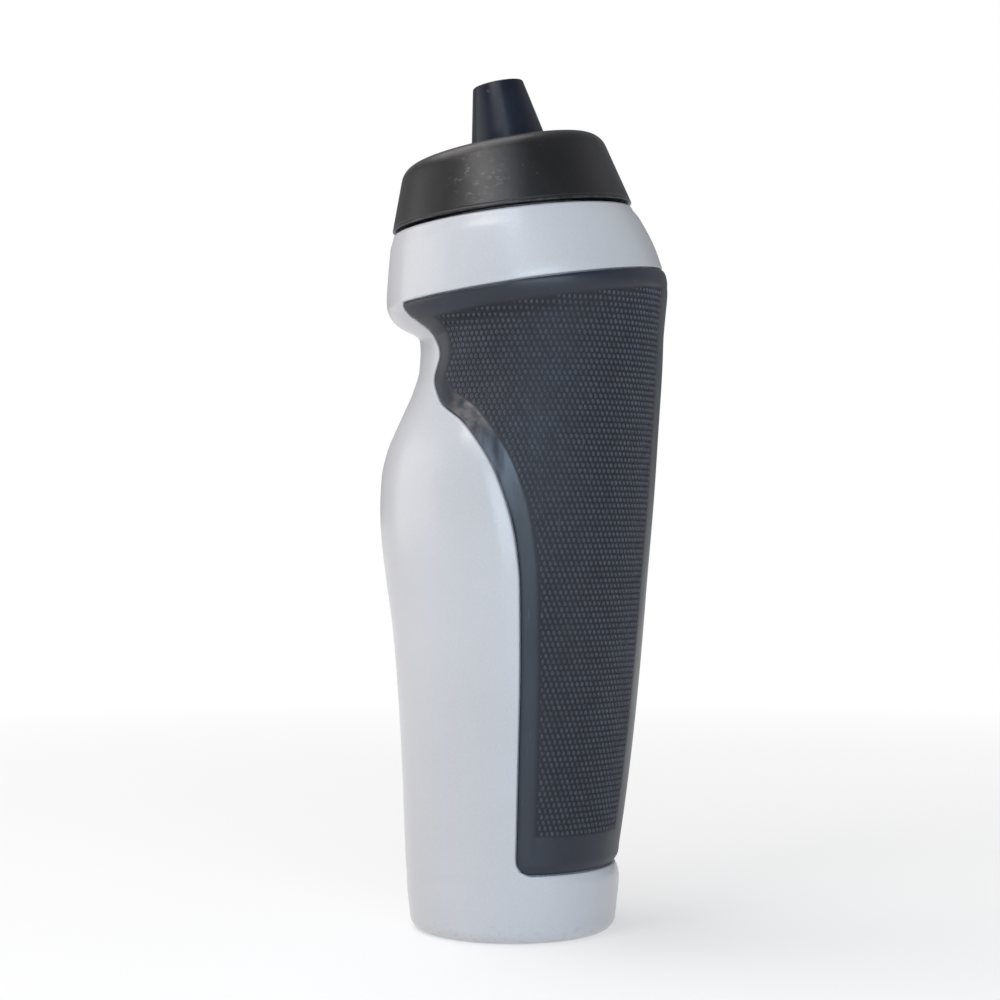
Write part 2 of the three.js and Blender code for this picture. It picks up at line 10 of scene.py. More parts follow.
import bmesh
import bpy
import numpy as np
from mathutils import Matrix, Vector


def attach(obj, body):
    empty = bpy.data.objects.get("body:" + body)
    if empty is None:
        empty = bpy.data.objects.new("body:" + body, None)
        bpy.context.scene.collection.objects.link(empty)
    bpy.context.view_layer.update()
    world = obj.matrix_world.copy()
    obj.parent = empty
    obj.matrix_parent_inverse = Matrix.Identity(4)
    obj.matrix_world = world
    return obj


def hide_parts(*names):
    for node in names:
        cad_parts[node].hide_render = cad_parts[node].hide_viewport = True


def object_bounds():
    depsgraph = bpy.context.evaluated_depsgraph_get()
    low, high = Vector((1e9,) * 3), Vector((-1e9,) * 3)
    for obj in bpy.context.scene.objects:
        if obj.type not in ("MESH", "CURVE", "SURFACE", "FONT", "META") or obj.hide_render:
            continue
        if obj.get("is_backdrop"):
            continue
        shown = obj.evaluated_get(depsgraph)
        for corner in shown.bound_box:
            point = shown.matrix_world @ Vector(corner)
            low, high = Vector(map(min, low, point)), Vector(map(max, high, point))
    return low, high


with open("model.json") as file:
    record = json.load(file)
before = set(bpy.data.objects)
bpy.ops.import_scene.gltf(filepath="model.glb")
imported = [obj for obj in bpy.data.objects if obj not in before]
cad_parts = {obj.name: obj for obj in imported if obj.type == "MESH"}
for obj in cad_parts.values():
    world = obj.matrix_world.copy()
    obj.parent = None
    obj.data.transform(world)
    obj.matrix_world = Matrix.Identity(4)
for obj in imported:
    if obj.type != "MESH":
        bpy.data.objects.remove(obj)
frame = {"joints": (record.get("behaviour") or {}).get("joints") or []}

cad_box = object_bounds()

# ---------------------------------------------------------------- driving dimensions, millimetres
NECK_LEAN = 7.0  # degrees the thread axis leans towards -X
SHOULDER_LEAN = 8.25  # degrees the shoulder edge leans
LEAN_STARTS = 95.0
SHOULDER_LEVEL = 180.6
RIM_CENTRE = (-0.25, 0.0, 201.8)  # where the thread axis crosses the cap's lower rim
RIM_RADIUS = 34.4
RIM_GAP = 0.8
BODY_WALL = 1.3
GRIP_THICKNESS = 1.2
GRIP_BED = 1.5
WALL_UNDER_GRIP = 2.7
GAP = 0.3

# The body's outline: level, reach to the front, to each side and to the back, depth of the finger
# groove, and how far the side lobe beside the grip stands out.
LEVELS = (
    (4, 29.4, 29.5, 29.2, 0, 0),
    (12, 30.2, 30.2, 30.1, 0, 0),
    (15, 30.3, 30.3, 30.3, 0, 0),
    (16.8, 30.4, 30.4, 30.0, 0, 0),
    (19.3, 30.6, 30.6, 29.1, 0, 0),
    (21.5, 30.7, 30.7, 29.8, 0, 0),
    (26, 30.9, 30.9, 30.6, 0, 0),
    (45, 31.6, 31.7, 33.2, 0, 0.2),
    (65, 32.7, 32.8, 35.4, 0, 0.4),
    (85, 34.3, 33.9, 37.2, 0, 0.7),
    (100, 36.3, 34.7, 38.4, 0, 1.1),
    (110, 37.4, 35.2, 39.3, 0, 1.4),
    (120, 37.9, 35.6, 40.2, 0, 1.5),
    (130, 37.9, 35.9, 41.0, 0.4, 1.4),
    (138, 37.8, 36.1, 41.6, 1.9, 1.0),
    (144, 37.7, 36.2, 42.1, 4.1, 0.6),
    (150, 37.6, 36.3, 42.6, 6.6, 0.2),
    (156, 37.5, 36.4, 43.0, 9.0, 0),
    (162, 37.4, 36.5, 43.3, 10.5, 0),
    (167, 37.3, 36.7, 43.8, 10.7, 0),
    (170.5, 37.2, 36.9, 44.2, 10.4, 0),
    (172.3, 37.1, 37.0, 44.4, 9.2, 0),
    (173.9, 37.0, 37.2, 44.5, 6.6, 0),
    (176.2, 36.9, 37.4, 44.4, 3.4, 0),
    (179, 36.8, 37.7, 43.9, 1.3, 0),
    (181.5, 36.6, 37.8, 42.9, 0.3, 0),
    (184, 36.4, 37.6, 42.1, 0, 0),
    (187, 36.2, 37.2, 41.1, 0, 0),
    (191.5, 35.8, 36.5, 39.2, 0, 0),
    (195.5, 35.4, 35.8, 37.2, 0, 0),
    (199.5, 34.9, 34.8, 35.0, 0, 0),
)
GROOVE_FADE = 1.4
LOBE_IN = 3.0
LOBE_OUT = 5.0

# The grip's front edge seen from the side, as height and X, above the rounded lower corner.
GRIP_BOTTOM = 19.3
GRIP_CORNER = 4.2
GRIP_EDGE = (
    (23.5, 0.8),
    (42, 1.2),
    (80, 1.9),
    (98, 1.8),
    (110, 0.7),
    (127.5, -4.2),
    (142.6, -13.4),
    (148.8, -20.3),
    (155, -22.1),
    (162, -20.5),
    (167.6, -22.3),
    (171.3, -26.8),
    (173.6, -29.7),
    (176.1, -31.3),
)
GRIP_TIP_RADIUS = 1.4  # rounding of the grip's pointed upper corner
GRIP_EDGE_ROLL = 0.7  # rounding of the grip's rim
BORDER_SWELL = 0.18
FOOT_ROLL = (2.4, 0.8)  # height and depth of the rounding at the grip's lower edge
BORDER_FRONT = 5.0  # smooth border between the rim and the field of dots
BORDER_TOP = 5.2
BORDER_BOTTOM = 10.4
SPINE = 13.0  # half the width of the smooth strip down the back
FIELD_DEPTH = 0.15
DOT_PITCH = 1.53  # along a row
DOT_ROW = 1.57  # from row to row
DOT_HALF_WIDTH = 0.58
DOT_HALF_HEIGHT = 0.86
DOT_RISE = 0.42
DOT_SIDES = 8
DOT_MARGIN = (0.75, 0.95)  # from the field's spine side and foot to the first dots' centres
DOT_ROOM = (0.3, 0.85)  # room from the border at which a dot is left out, and is full size

SHOULDER_FILLET = 1.3  # rounding between the shoulder and the land under the cap
BASE_CORNER = 4.0  # height of the rounding under the body
BASE_RING = (22.5, 25.6)
BASE_DOME = 4.8
FLOOR_DOME = 6.6
FLOOR_OUTLINE = ((27.9, 5.4), (26.8, 3.4), (25, 2.6), (21.6, 2.7), (18.5, 4.2), (13, 5.8), (6, 6.4))

NECK_BORE = 22.0
NECK_RADIUS = 24.0
NECK_HEIGHT = 10.5
NECK_RIM_ROUND = 0.6
LAND_THICKNESS = 1.7
THREAD_PITCH = 6.0
THREAD_DEPTH = 1.4
THREAD_ROOT = 2.2
THREAD_CREST = 1.2
NECK_THREAD = (2.8, 0.0, 1.0)  # height at the start, first and last turn
INSERT_THREAD = (5.8, -0.6, 0.5)

CAP_HEIGHT = 19.8
CAP_HALF_ANGLE = 17.3
CAP_WALL = 1.6
CAP_EDGE_RADIUS = 6.0
CAP_TOP_LEAN = 3.5
CAP_LIP_ROUND = 0.35
CAP_LINE_HEIGHT = 0.95  # a fine line sunk round the cap just above its rim, as offset and depth
CAP_LINE = ((-0.26, 0), (-0.14, 0.1), (0, 0.14), (0.14, 0.1), (0.26, 0), (0.5, 0))

INSERT_BORE = 26.0
INSERT_RADIUS = 27.6
INSERT_FOOT = 0.5
INSERT_RIM = 1.4
GASKET_THICKNESS = 1.2
GASKET_INNER = 21.0
FLANGE_THICKNESS = 1.4
FLANGE_INNER = 17.0

SPOUT_OFFSET = 1.75
SPOUT_HEIGHT = 18.8
SPOUT_FOOT_RADIUS = 11.1
SPOUT_TIP_RADIUS = 7.2
SPOUT_TRAVEL = 5.0
DRINK_HOLE = 3.3
SLEEVE_SKIRT = 1.8
CORE_RADIUS = 6.2
CORE_BORE = 5.2
CORE_FOOT = 0.8
CORE_TOP = 17.2
CORE_ROOF = 1.2
CORE_LIP = (4.8, 0.8)
TOWER_RADIUS = 4.5
TOWER_BORE = 3.0
TOWER_TOP = 12.5
STOP_BEAD = (5.0, 0.7)
O_RING = (4.6, 0.5, 10.0)  # radius, half section and height
O_RING_BED = 3.8
POST_RADIUS = 1.2
POST_TOP = 17.0
SPIDER_LEGS = 3
SPIDER_THICKNESS = 1.2
SPIDER_HEIGHT = 2.0
PLUG_RADIUS = 3.0
PLUG_HEIGHT = 3.4
PLUG_TOP = 18.6

CAMERA_DISTANCE = 627.0
CAMERA_HEIGHT = 121.6
CAMERA_ASIDE = -3.7
CAMERA_LENS = 79.0
LIGHT_DISTANCE = 0.9  # metres

MM = 0.001
TURNED_SEGMENTS = 144
SMALL_SEGMENTS = 72
THREAD_STEP = 0.3  # between the rings of a threaded wall
BACK_COLUMNS = 24
FRONT_COLUMNS = 22
FIELD_COLUMNS = 24
FAR = 99.0  # stands for any distance that is too long to matter

joints = {joint["name"]: joint for joint in frame["joints"]}
BASE_X = joints["cap_unscrew"]["pos_m"][0] - RIM_CENTRE[0] * MM  # the row's origin is under the middle


# ---------------------------------------------------------------- small helpers
def smooth(value, low, high):
    share = np.clip((value - low) / (high - low), 0, 1)
    return share * share * (3 - 2 * share)


def curve_through(keys, values):
    """A function of the key that runs smoothly through the points and doesn't overshoot them."""
    keys = np.array(keys, float)
    values = np.array(values, float)
    slopes = np.diff(values) / np.diff(keys)
    product = slopes[:-1] * slopes[1:]
    total = np.where(product > 0, slopes[:-1] + slopes[1:], 1)
    inner = np.where(product > 0, 2 * product / total, 0)
    tangents = np.concatenate([slopes[:1], inner, slopes[-1:]])

    def value_at(key):
        key = np.clip(key, keys[0], keys[-1])
        i = np.clip(np.searchsorted(keys, key, side="right") - 1, 0, len(keys) - 2)
        span = keys[i + 1] - keys[i]
        s = (key - keys[i]) / span
        ends = values[i] * (1 + 2 * s) * (1 - s) ** 2 + values[i + 1] * s * s * (3 - 2 * s)
        return ends + span * s * (1 - s) * (tangents[i] * (1 - s) - tangents[i + 1] * s)

    return value_at


def leaning_frame(lean, origin):
    """A frame whose Z axis leans `lean` degrees towards -X, as a function of points."""
    c = math.cos(math.radians(lean))
    s = math.sin(math.radians(lean))
    turn = np.array([[c, 0, -s], [0, 1, 0], [s, 0, c]])

    def placed(points):
        return points @ turn.T + np.array(origin)

    return placed


thread_frame = leaning_frame(NECK_LEAN, RIM_CENTRE)
spout_in_cap = leaning_frame(
    CAP_TOP_LEAN, (SPOUT_OFFSET, 0, CAP_HEIGHT + SPOUT_OFFSET * math.tan(math.radians(CAP_TOP_LEAN)))
)


def spout_frame(points):
    return thread_frame(spout_in_cap(points))


def in_scene(name, data):
    made = bpy.data.objects.new(name, data)
    bpy.context.scene.collection.objects.link(made)
    return made


class Shape:
    """Points in millimetres and faces, gathered into one mesh."""

    def __init__(self):
        self.points = []
        self.faces = []
        self.raised = []
        self.count = 0

    def add(self, points, faces, raised=None):
        points = np.asarray(points, float).reshape(-1, 3)
        self.points.append(points)
        self.faces.extend((np.asarray(face) + self.count).tolist() for face in faces)
        self.raised.append(np.zeros(len(points)) if raised is None else np.asarray(raised, float))
        self.count += len(points)

    def add_rings(self, rings, closed=True, caps=(False, False)):
        """Skins rings of equal length. `caps` closes the first and the last ring with a middle point."""
        rings = np.asarray(rings, float)
        rows, around = rings.shape[:2]
        faces = []
        for i in range(rows if closed else rows - 1):
            lower = i * around + np.arange(around)
            upper = ((i + 1) % rows) * around + np.arange(around)
            faces.extend(np.stack([lower, np.roll(lower, -1), np.roll(upper, -1), upper], axis=1))
        points = [rings.reshape(-1, 3)]
        for row, wanted in zip((0, rows - 1), caps):
            if wanted is not False:
                middle = sum(len(p) for p in points)
                edge = row * around + np.arange(around)
                points.append(np.asarray(wanted, float).reshape(1, 3))
                faces.extend(np.stack([edge, np.roll(edge, -1), np.full(around, middle)], axis=1))
        self.add(np.concatenate(points), faces)

    def make(self, name, sharp=35):
        placed = np.concatenate(self.points) * MM + np.array([BASE_X, 0, 0])
        mesh = bpy.data.meshes.new(name)
        mesh.from_pydata(placed.tolist(), [], self.faces)
        work = bmesh.new()
        work.from_mesh(mesh)
        bmesh.ops.recalc_face_normals(work, faces=work.faces)
        work.to_mesh(mesh)
        work.free()
        raised = np.concatenate(self.raised)
        if raised.any():
            layer = mesh.attributes.new("relief", "FLOAT", "POINT")
            layer.data.foreach_set("value", raised.astype(np.float32))
        mesh.polygons.foreach_set("use_smooth", [True] * len(mesh.polygons))
        mesh.set_sharp_from_angle(angle=math.radians(sharp))
        return in_scene(name, mesh)


def around(segments):
    return 2 * math.pi * np.arange(segments) / segments


def ring(radius, height, angles, placed):
    """A ring in a leaning frame. The radius and the height may differ from angle to angle."""
    x = radius * np.cos(angles)
    y = radius * np.sin(angles)
    return placed(np.stack([x, y, height + 0 * angles], axis=-1))


def rings_of(outline, angles, placed):
    return [ring(radius, height, angles, placed) for radius, height in outline]


def rounded(outline, radius, steps=4):
    """A closed outline of (radius, height) corners with every corner rounded, except on the axis."""
    corners = [np.array(corner, float) for corner in outline]
    points = []
    for i, corner in enumerate(corners):
        if corner[0] == 0:
            points.append(corner)
            continue
        before = corners[i - 1] - corner
        after = corners[(i + 1) % len(corners)] - corner
        cut = min(radius, 0.45 * np.linalg.norm(before), 0.45 * np.linalg.norm(after))
        start = corner + before / np.linalg.norm(before) * cut
        end = corner + after / np.linalg.norm(after) * cut
        for step in range(steps + 1):
            s = step / steps
            points.append(start * (1 - s) ** 2 + 2 * corner * s * (1 - s) + end * s * s)
    return points


def turned(shape, outline, placed, segments=SMALL_SEGMENTS):
    """Adds a solid of revolution from a closed outline. It may begin and end on the axis."""
    rings = rings_of(outline, around(segments), placed)
    if outline[0][0] == 0:
        shape.add_rings(rings[1:-1], closed=False, caps=(rings[0][0], rings[-1][0]))
    else:
        shape.add_rings(rings)


def turned_piece(name, outline, placed, segments=SMALL_SEGMENTS):
    shape = Shape()
    turned(shape, outline, placed, segments)
    return shape.make(name)


def thread_height(angles, heights, thread):
    """How far a thread's ridge stands at each angle and height, from 0 to its full depth."""
    start, first, last = thread
    flank = (THREAD_ROOT - THREAD_CREST) / 2
    best = np.zeros(np.broadcast(angles, heights).shape)
    for lap in range(-1, 2):
        turn = angles / (2 * math.pi) + lap
        offset = np.abs(heights - (start + THREAD_PITCH * turn))
        ridge = np.clip((THREAD_ROOT / 2 - offset) / flank, 0, 1)
        run_out = smooth(turn, first, first + 0.09) * (1 - smooth(turn, last - 0.09, last))
        best = np.maximum(best, THREAD_DEPTH * ridge * run_out)
    return best


# ---------------------------------------------------------------- the body's surface
level_column = [row[0] for row in LEVELS]
front_at, side_at, back_at, groove_at, lobe_at = (
    curve_through(level_column, [row[i] for row in LEVELS]) for i in range(1, 6)
)
edge_above_corner = curve_through(*zip(*GRIP_EDGE))


def edge_x(height):
    """X of the grip's front edge at a height."""
    corner_top = GRIP_BOTTOM + GRIP_CORNER
    drop = np.sqrt(np.maximum(0, GRIP_CORNER**2 - (corner_top - height) ** 2))
    return np.where(height < corner_top, GRIP_EDGE[0][1] + GRIP_CORNER - drop, edge_above_corner(height))


def lean_at(level):
    settle = (NECK_LEAN - SHOULDER_LEAN) * smooth(level, SHOULDER_LEVEL, RIM_CENTRE[2])
    return np.radians(SHOULDER_LEAN * smooth(level, LEAN_STARTS, SHOULDER_LEVEL) + settle)


def surface(angle, level, inset=0.0):
    """Points of the outer surface, or `inset` behind it. The angle is 0 at the back."""
    angle, level, inset = np.broadcast_arrays(angle, level, inset)
    front, side, back = front_at(level), side_at(level), back_at(level)
    centre = (back - front) / 2
    half = (back + front) / 2
    c, s = np.cos(angle), np.sin(angle)
    rx, ry = half * c, side * s
    nx, ny = c / half, s / side
    length = np.hypot(nx, ny)
    shrink = 1 - groove_at(level) * ((1 - c) / 2) ** GROOVE_FADE / np.hypot(rx, ry)
    rx, ry = rx * shrink, ry * shrink
    edge = edge_above_corner(level)
    lobe = lobe_at(level) * (1 - smooth(centre + rx, edge - LOBE_OUT, edge + LOBE_IN)) * s * s
    rx = rx + nx / length * (lobe - inset)
    ry = ry + ny / length * (lobe - inset)
    lean = lean_at(level)
    x = centre + rx
    return np.stack([x * np.cos(lean), ry, level + x * np.sin(lean)], axis=-1)


# Positions on the surface are given as arc length from the centre line of the back and level.
FINE_ANGLES = np.linspace(0, math.pi, 361)


def arcs_of(levels):
    points = surface(FINE_ANGLES, levels[:, None])
    steps = np.linalg.norm(np.diff(points, axis=1), axis=2)
    return np.concatenate([np.zeros((len(levels), 1)), np.cumsum(steps, axis=1)], axis=1)


def angles_at(levels, arcs):
    tables = arcs_of(levels)
    rows = [np.interp(np.abs(row), table, FINE_ANGLES) for row, table in zip(arcs, tables)]
    return np.sign(arcs) * np.stack(rows)


def grip_edge_arcs():
    """Levels, and the arc length at which the grip's front edge crosses each of them."""
    levels = np.arange(6, 199, 0.1)
    points = surface(FINE_ANGLES, levels[:, None])
    behind = points[..., 0] - edge_x(points[..., 2])
    rows = np.arange(len(levels))
    after = np.argmax(behind < 0, axis=1)
    share = behind[rows, after - 1] / (behind[rows, after - 1] - behind[rows, after])
    arcs = arcs_of(levels)
    tip = np.clip(levels - SHOULDER_LEVEL + GRIP_TIP_RADIUS, 0, GRIP_TIP_RADIUS)
    rounding = GRIP_TIP_RADIUS - np.sqrt(GRIP_TIP_RADIUS**2 - tip**2)
    return levels, arcs[rows, after - 1] * (1 - share) + arcs[rows, after] * share - rounding


EDGE_LEVELS, EDGE_ARCS = grip_edge_arcs()


def edge_offset(levels, distance):
    """Arc length of the line that keeps a distance from the grip's front edge, outside if positive."""
    reach = abs(distance)
    along = reach * np.sin(np.linspace(-math.pi / 2, math.pi / 2, 41))
    arcs = np.interp(levels[:, None] + along, EDGE_LEVELS, EDGE_ARCS)
    rise = np.sqrt(np.maximum(0, reach**2 - along**2))
    return (arcs + rise).max(axis=1) if distance > 0 else (arcs - rise).min(axis=1)


def spread(start, end, count):
    """Columns between two columns of arc lengths, without the two."""
    shares = np.arange(1, count + 1) / (count + 1)
    return start[:, None] * (1 - shares) + end[:, None] * shares


# ---------------------------------------------------------------- body
BED_LIP = (0.3, 0.36, 0.46, 0.6, 0.75)  # columns over the rounded lip of the grip's bed
BED_LIP_RADIUS = 0.45
BED_WALL = BED_LIP[0] - 0.02  # foot of the bed's steep wall


def bed_depth(distance):
    """Depth of the grip's bed at a signed distance outside the grip's outline."""
    lip = np.clip(BED_LIP[-1] - distance, 0, BED_LIP_RADIUS)
    rounding = BED_LIP_RADIUS - np.sqrt(BED_LIP_RADIUS**2 - lip**2)
    return np.where(distance < (BED_WALL + BED_LIP[0]) / 2, GRIP_BED, rounding)


def body_columns(levels):
    """Arc lengths of the body's columns on one side, and each column's distance outside the grip."""
    perimeter = arcs_of(levels)[:, -1]
    outside = (*BED_LIP, 1.2, 2.0, 3.2, 4.6, 6.4)
    under = (-4.0, -1.0, BED_WALL)
    bed = np.stack([edge_offset(levels, d) for d in under], axis=1)
    rim = np.stack([edge_offset(levels, d) for d in outside], axis=1)
    back = spread(np.zeros(len(levels)), bed[:, 0], BACK_COLUMNS)
    front = spread(rim[:, -1], perimeter, FRONT_COLUMNS)
    zero = np.zeros((len(levels), 1))
    arcs = np.concatenate([zero, back, bed, rim, front, perimeter[:, None]], axis=1)
    inner = [-FAR] * (BACK_COLUMNS + 1)
    outer = [FAR] * (FRONT_COLUMNS + 1)
    return arcs, np.array([*inner, *under, *outside, *outer])


def mirrored(half_angles):
    """Angles of a full ring from those of the half from 0 to half a turn."""
    return np.concatenate([half_angles, -half_angles[:, -2:0:-1]], axis=1)


def body_rings():
    steps = (BED_WALL, *BED_LIP, 1.2, 2.0, 3.2)
    lip = [GRIP_BOTTOM - step for step in reversed(steps)]
    top_lip = [SHOULDER_LEVEL + step for step in steps]
    levels = np.array(
        [
            *(4, 5.5, 7.5, 9.5, 11.5, 13.5, 15),
            *lip,
            *np.arange(20.3, 144, 2.0),
            *np.arange(145, 180, 1.0),
            *top_lip,
            *np.arange(185, 198.5, 1.4),
        ]
    )
    arcs, columns = body_columns(levels)
    rows = np.maximum(GRIP_BOTTOM - levels, levels - SHOULDER_LEVEL)
    distance = np.maximum(columns[None, :], rows[:, None])
    angles = angles_at(levels, arcs)
    depth = bed_depth(distance)
    full = mirrored(angles)
    full_depth = np.concatenate([depth, depth[:, -2:0:-1]], axis=1)
    return surface(full, levels[:, None], full_depth), full


def wall_behind(angles, levels):
    points = surface(angles, levels)
    edge = edge_above_corner(points[..., 2])
    behind_grip = smooth(points[..., 0], edge - 7, edge - 1)
    beside_grip = smooth(levels, GRIP_BOTTOM - 6, GRIP_BOTTOM - 2) * (1 - smooth(levels, 184, 190))
    above_waist = smooth(levels, 146, 152)
    extra = (WALL_UNDER_GRIP - BODY_WALL) * beside_grip * np.maximum(behind_grip, above_waist)
    return BODY_WALL + extra


def upright(radius, height, angles):
    return ring(radius, height, angles, lambda points: points)


def base_rings(first_ring, angles):
    """The rounding under the body, the standing ring and the dome, from the middle outwards."""
    rings = []
    dome_foot, stand = BASE_RING
    for share in np.linspace(0.12, 1, 10):
        radius = dome_foot * share
        height = BASE_DOME * (1 - share**3.2) * (1 - smooth(share, 0.86, 1.0))
        rings.append(upright(radius, height, angles))
    rings.append(upright(stand, 0, angles))
    across = np.hypot(first_ring[:, 0], first_ring[:, 1])
    for turn in np.radians(np.linspace(12, 84, 7)):
        radius = stand + (across - stand) * np.sin(turn)
        rings.append(upright(radius, BASE_CORNER * (1 - np.cos(turn)), angles))
    return rings


def neck_rings(angles):
    """Rings from the shoulder's rounding over the land, up the thread, over the rim and down the bore."""
    under_land = -RIM_GAP - LAND_THICKNESS
    outline = []
    for turn in np.radians(np.linspace(0, 90, 8)):
        inwards, down = SHOULDER_FILLET * (1 - np.array([math.cos(turn), math.sin(turn)]))
        outline.append((RIM_RADIUS - inwards, -RIM_GAP - down))
    outline += [(30.0, -RIM_GAP), (NECK_RADIUS + 0.8, -RIM_GAP), (NECK_RADIUS + 0.25, -RIM_GAP + 0.25)]
    for height in np.arange(0.2, NECK_HEIGHT - NECK_RIM_ROUND, THREAD_STEP):
        outline.append((NECK_RADIUS + thread_height(angles % (2 * math.pi), height, NECK_THREAD), height))
    middle = (NECK_RADIUS + NECK_BORE) / 2
    for turn in np.radians(np.linspace(0, 180, 9)):
        radius = middle + (NECK_RADIUS - NECK_BORE) / 2 * math.cos(turn)
        outline.append((radius, NECK_HEIGHT - NECK_RIM_ROUND * (1 - math.sin(turn))))
    outline += [(NECK_BORE, 4.0), (NECK_BORE, under_land + 0.6), (NECK_BORE + 0.6, under_land)]
    outline.append((RIM_RADIUS - 3, under_land - 0.6))
    return rings_of(outline, angles, thread_frame)


def inside_rings(angles):
    """The inner wall from the shoulder down to the floor."""
    levels = np.array([196, 191.5, 187, 184, 181.5, 179, 176.2, 173.9, 172.3, 170.5, 167, 162, 156, 150])
    levels = np.concatenate([levels, [144, 138, 130, 120, 110, 100, 85, 65, 45, 26, 20, 12]])
    rings = [surface(angles, level, wall_behind(angles, level)) for level in levels]
    for radius, height in FLOOR_OUTLINE:
        rings.append(upright(radius, height, angles))
    return rings


def body_shell():
    outer, all_angles = body_rings()
    base_angles = np.arctan2(outer[0][:, 1], outer[0][:, 0])
    rings = [
        *base_rings(outer[0], base_angles),
        *outer,
        *neck_rings(all_angles[-1]),
        *inside_rings(all_angles[-1]),
    ]
    shape = Shape()
    shape.add_rings(rings, closed=False, caps=((0, 0, BASE_DOME), (0, 0, FLOOR_DOME)))
    return shape.make("body_shell")


# ---------------------------------------------------------------- grip
GRIP_STEPS = (0, 0.12, 0.35, 0.7, 1.1, 1.6, 2.3, 3.1, 4.0, 4.65, 5.0, 5.35, 6.2, 7.6)
GRIP_TOP_STEPS = (0, 0.12, 0.35, 0.7, 1.1, 1.6, 2.4, 3.3, 4.1, 4.85, 5.2, 5.55, 6.4, 7.3)
GRIP_BOTTOM_STEPS = (0, 0.12, 0.35, 0.7, 1.1, 1.6, 2.4, 3.4, 4.8, 6.4, 8.2, 9.5, 10.05, 10.4, 10.75, 11.6)
SPINE_COLUMNS = (0, 2, 4, 6, 8, 10, 11.6, 12.65, 13.0, 13.35, 14.4)


def field_depth(column_distance, levels, arcs):
    """Depth of the dots' ground below the border around it."""
    inside = np.minimum(column_distance - BORDER_FRONT, SHOULDER_LEVEL - levels - BORDER_TOP)
    inside = np.minimum(inside, levels - GRIP_BOTTOM - BORDER_BOTTOM)
    inside = np.minimum(inside, np.abs(arcs) - SPINE)
    return FIELD_DEPTH * smooth(inside, -0.3, 0.3)


def rolled(distance, reach, depth):
    """Depth of a rounded edge, which begins at `reach` from the edge."""
    share = np.clip(1 - distance / reach, 0, 1)
    return depth * (1 - np.sqrt(1 - share * share))


def grip_inset(border, above_foot, field):
    """How far the grip's surface lies behind the body's outline."""
    roll = np.maximum(rolled(border, GRIP_EDGE_ROLL, GRIP_EDGE_ROLL), rolled(above_foot, *FOOT_ROLL))
    swell = BORDER_SWELL * np.sin(math.pi * np.clip(border / BORDER_FRONT, 0, 1))
    return roll - swell + field


def grip_shell(shape):
    levels = np.array(
        [
            *(GRIP_BOTTOM + d for d in GRIP_BOTTOM_STEPS),
            *np.arange(33, 144, 2.4),
            *np.arange(145, 173, 1.2),
            *(SHOULDER_LEVEL - d for d in reversed(GRIP_TOP_STEPS)),
        ]
    )
    edges = [edge_offset(levels, -d) for d in reversed(GRIP_STEPS[1:])]
    edges.append(np.interp(levels, EDGE_LEVELS, EDGE_ARCS))
    border = np.stack(edges, axis=1)
    spine = np.tile(np.array(SPINE_COLUMNS, float), (len(levels), 1))
    between = spread(spine[:, -1], border[:, 0], FIELD_COLUMNS)
    half = np.concatenate([spine, between, border], axis=1)
    far = [FAR] * (len(SPINE_COLUMNS) + FIELD_COLUMNS)
    half_distance = np.array([*far, *reversed(GRIP_STEPS)])
    arcs = np.concatenate([-half[:, :0:-1], half], axis=1)
    columns = np.concatenate([half_distance[:0:-1], half_distance])[None, :]
    rows = np.minimum(levels - GRIP_BOTTOM, SHOULDER_LEVEL - levels)[:, None]
    field = field_depth(columns, levels[:, None], arcs)
    angles = angles_at(levels, arcs)
    inset = grip_inset(np.minimum(columns, rows), levels[:, None] - GRIP_BOTTOM, field)
    outer = surface(angles, levels[:, None], inset)
    inner = surface(angles, levels[:, None], GRIP_THICKNESS)
    rings = np.concatenate([outer, inner[:, ::-1]], axis=1)
    count = outer.shape[1]
    around_count = rings.shape[1]
    shape.add_rings(rings, closed=False)
    sunk = np.concatenate([field / FIELD_DEPTH, 0 * field], axis=1)
    shape.raised[-1] = -sunk.ravel()
    for row in (0, len(levels) - 1):
        start = row * around_count
        left = start + np.arange(count)
        right = start + around_count - 1 - np.arange(count)
        ends = np.stack([left[:-1], left[1:], right[1:], right[:-1]], axis=1)
        shape.faces.extend(ends.tolist())


def upright_arcs(height):
    """Levels and arc lengths, at each of the FINE angles, of the surface's section at a height."""
    levels = np.full(len(FINE_ANGLES), height, float)
    for _ in range(8):
        x = surface(FINE_ANGLES, levels)[:, 0]
        levels = height - x * np.tan(lean_at(levels))
    points = surface(FINE_ANGLES, levels)
    steps = np.linalg.norm(np.diff(points, axis=0), axis=1)
    return levels, np.concatenate([[0], np.cumsum(steps)])


def dot_places():
    """Angle, level and relative size of each dot. Every second row is half a pitch off."""
    angles = []
    levels = []
    heights = np.arange(GRIP_BOTTOM + BORDER_BOTTOM + DOT_MARGIN[1], SHOULDER_LEVEL + 8, DOT_ROW)
    for i, height in enumerate(heights):
        row_levels, row_arcs = upright_arcs(height)
        first = SPINE + DOT_MARGIN[0] + DOT_PITCH / 2 * (i % 2)
        arcs = np.arange(first, row_arcs[-1], DOT_PITCH)
        angles.append(np.interp(arcs, row_arcs, FINE_ANGLES))
        levels.append(np.interp(arcs, row_arcs, row_levels))
    angles = np.concatenate(angles)
    levels = np.concatenate(levels)
    tables = arcs_of(levels)
    arcs = np.array([np.interp(angle, FINE_ANGLES, table) for angle, table in zip(angles, tables)])
    room = np.minimum(edge_offset(levels, -BORDER_FRONT) - arcs, SHOULDER_LEVEL - BORDER_TOP - levels)
    inside = room > DOT_ROOM[0]
    sizes = np.clip(room[inside] / DOT_ROOM[1], 0, 1)
    both_sides = np.concatenate([angles[inside], -angles[inside]])
    return both_sides, np.tile(levels[inside], 2), np.tile(sizes, 2)


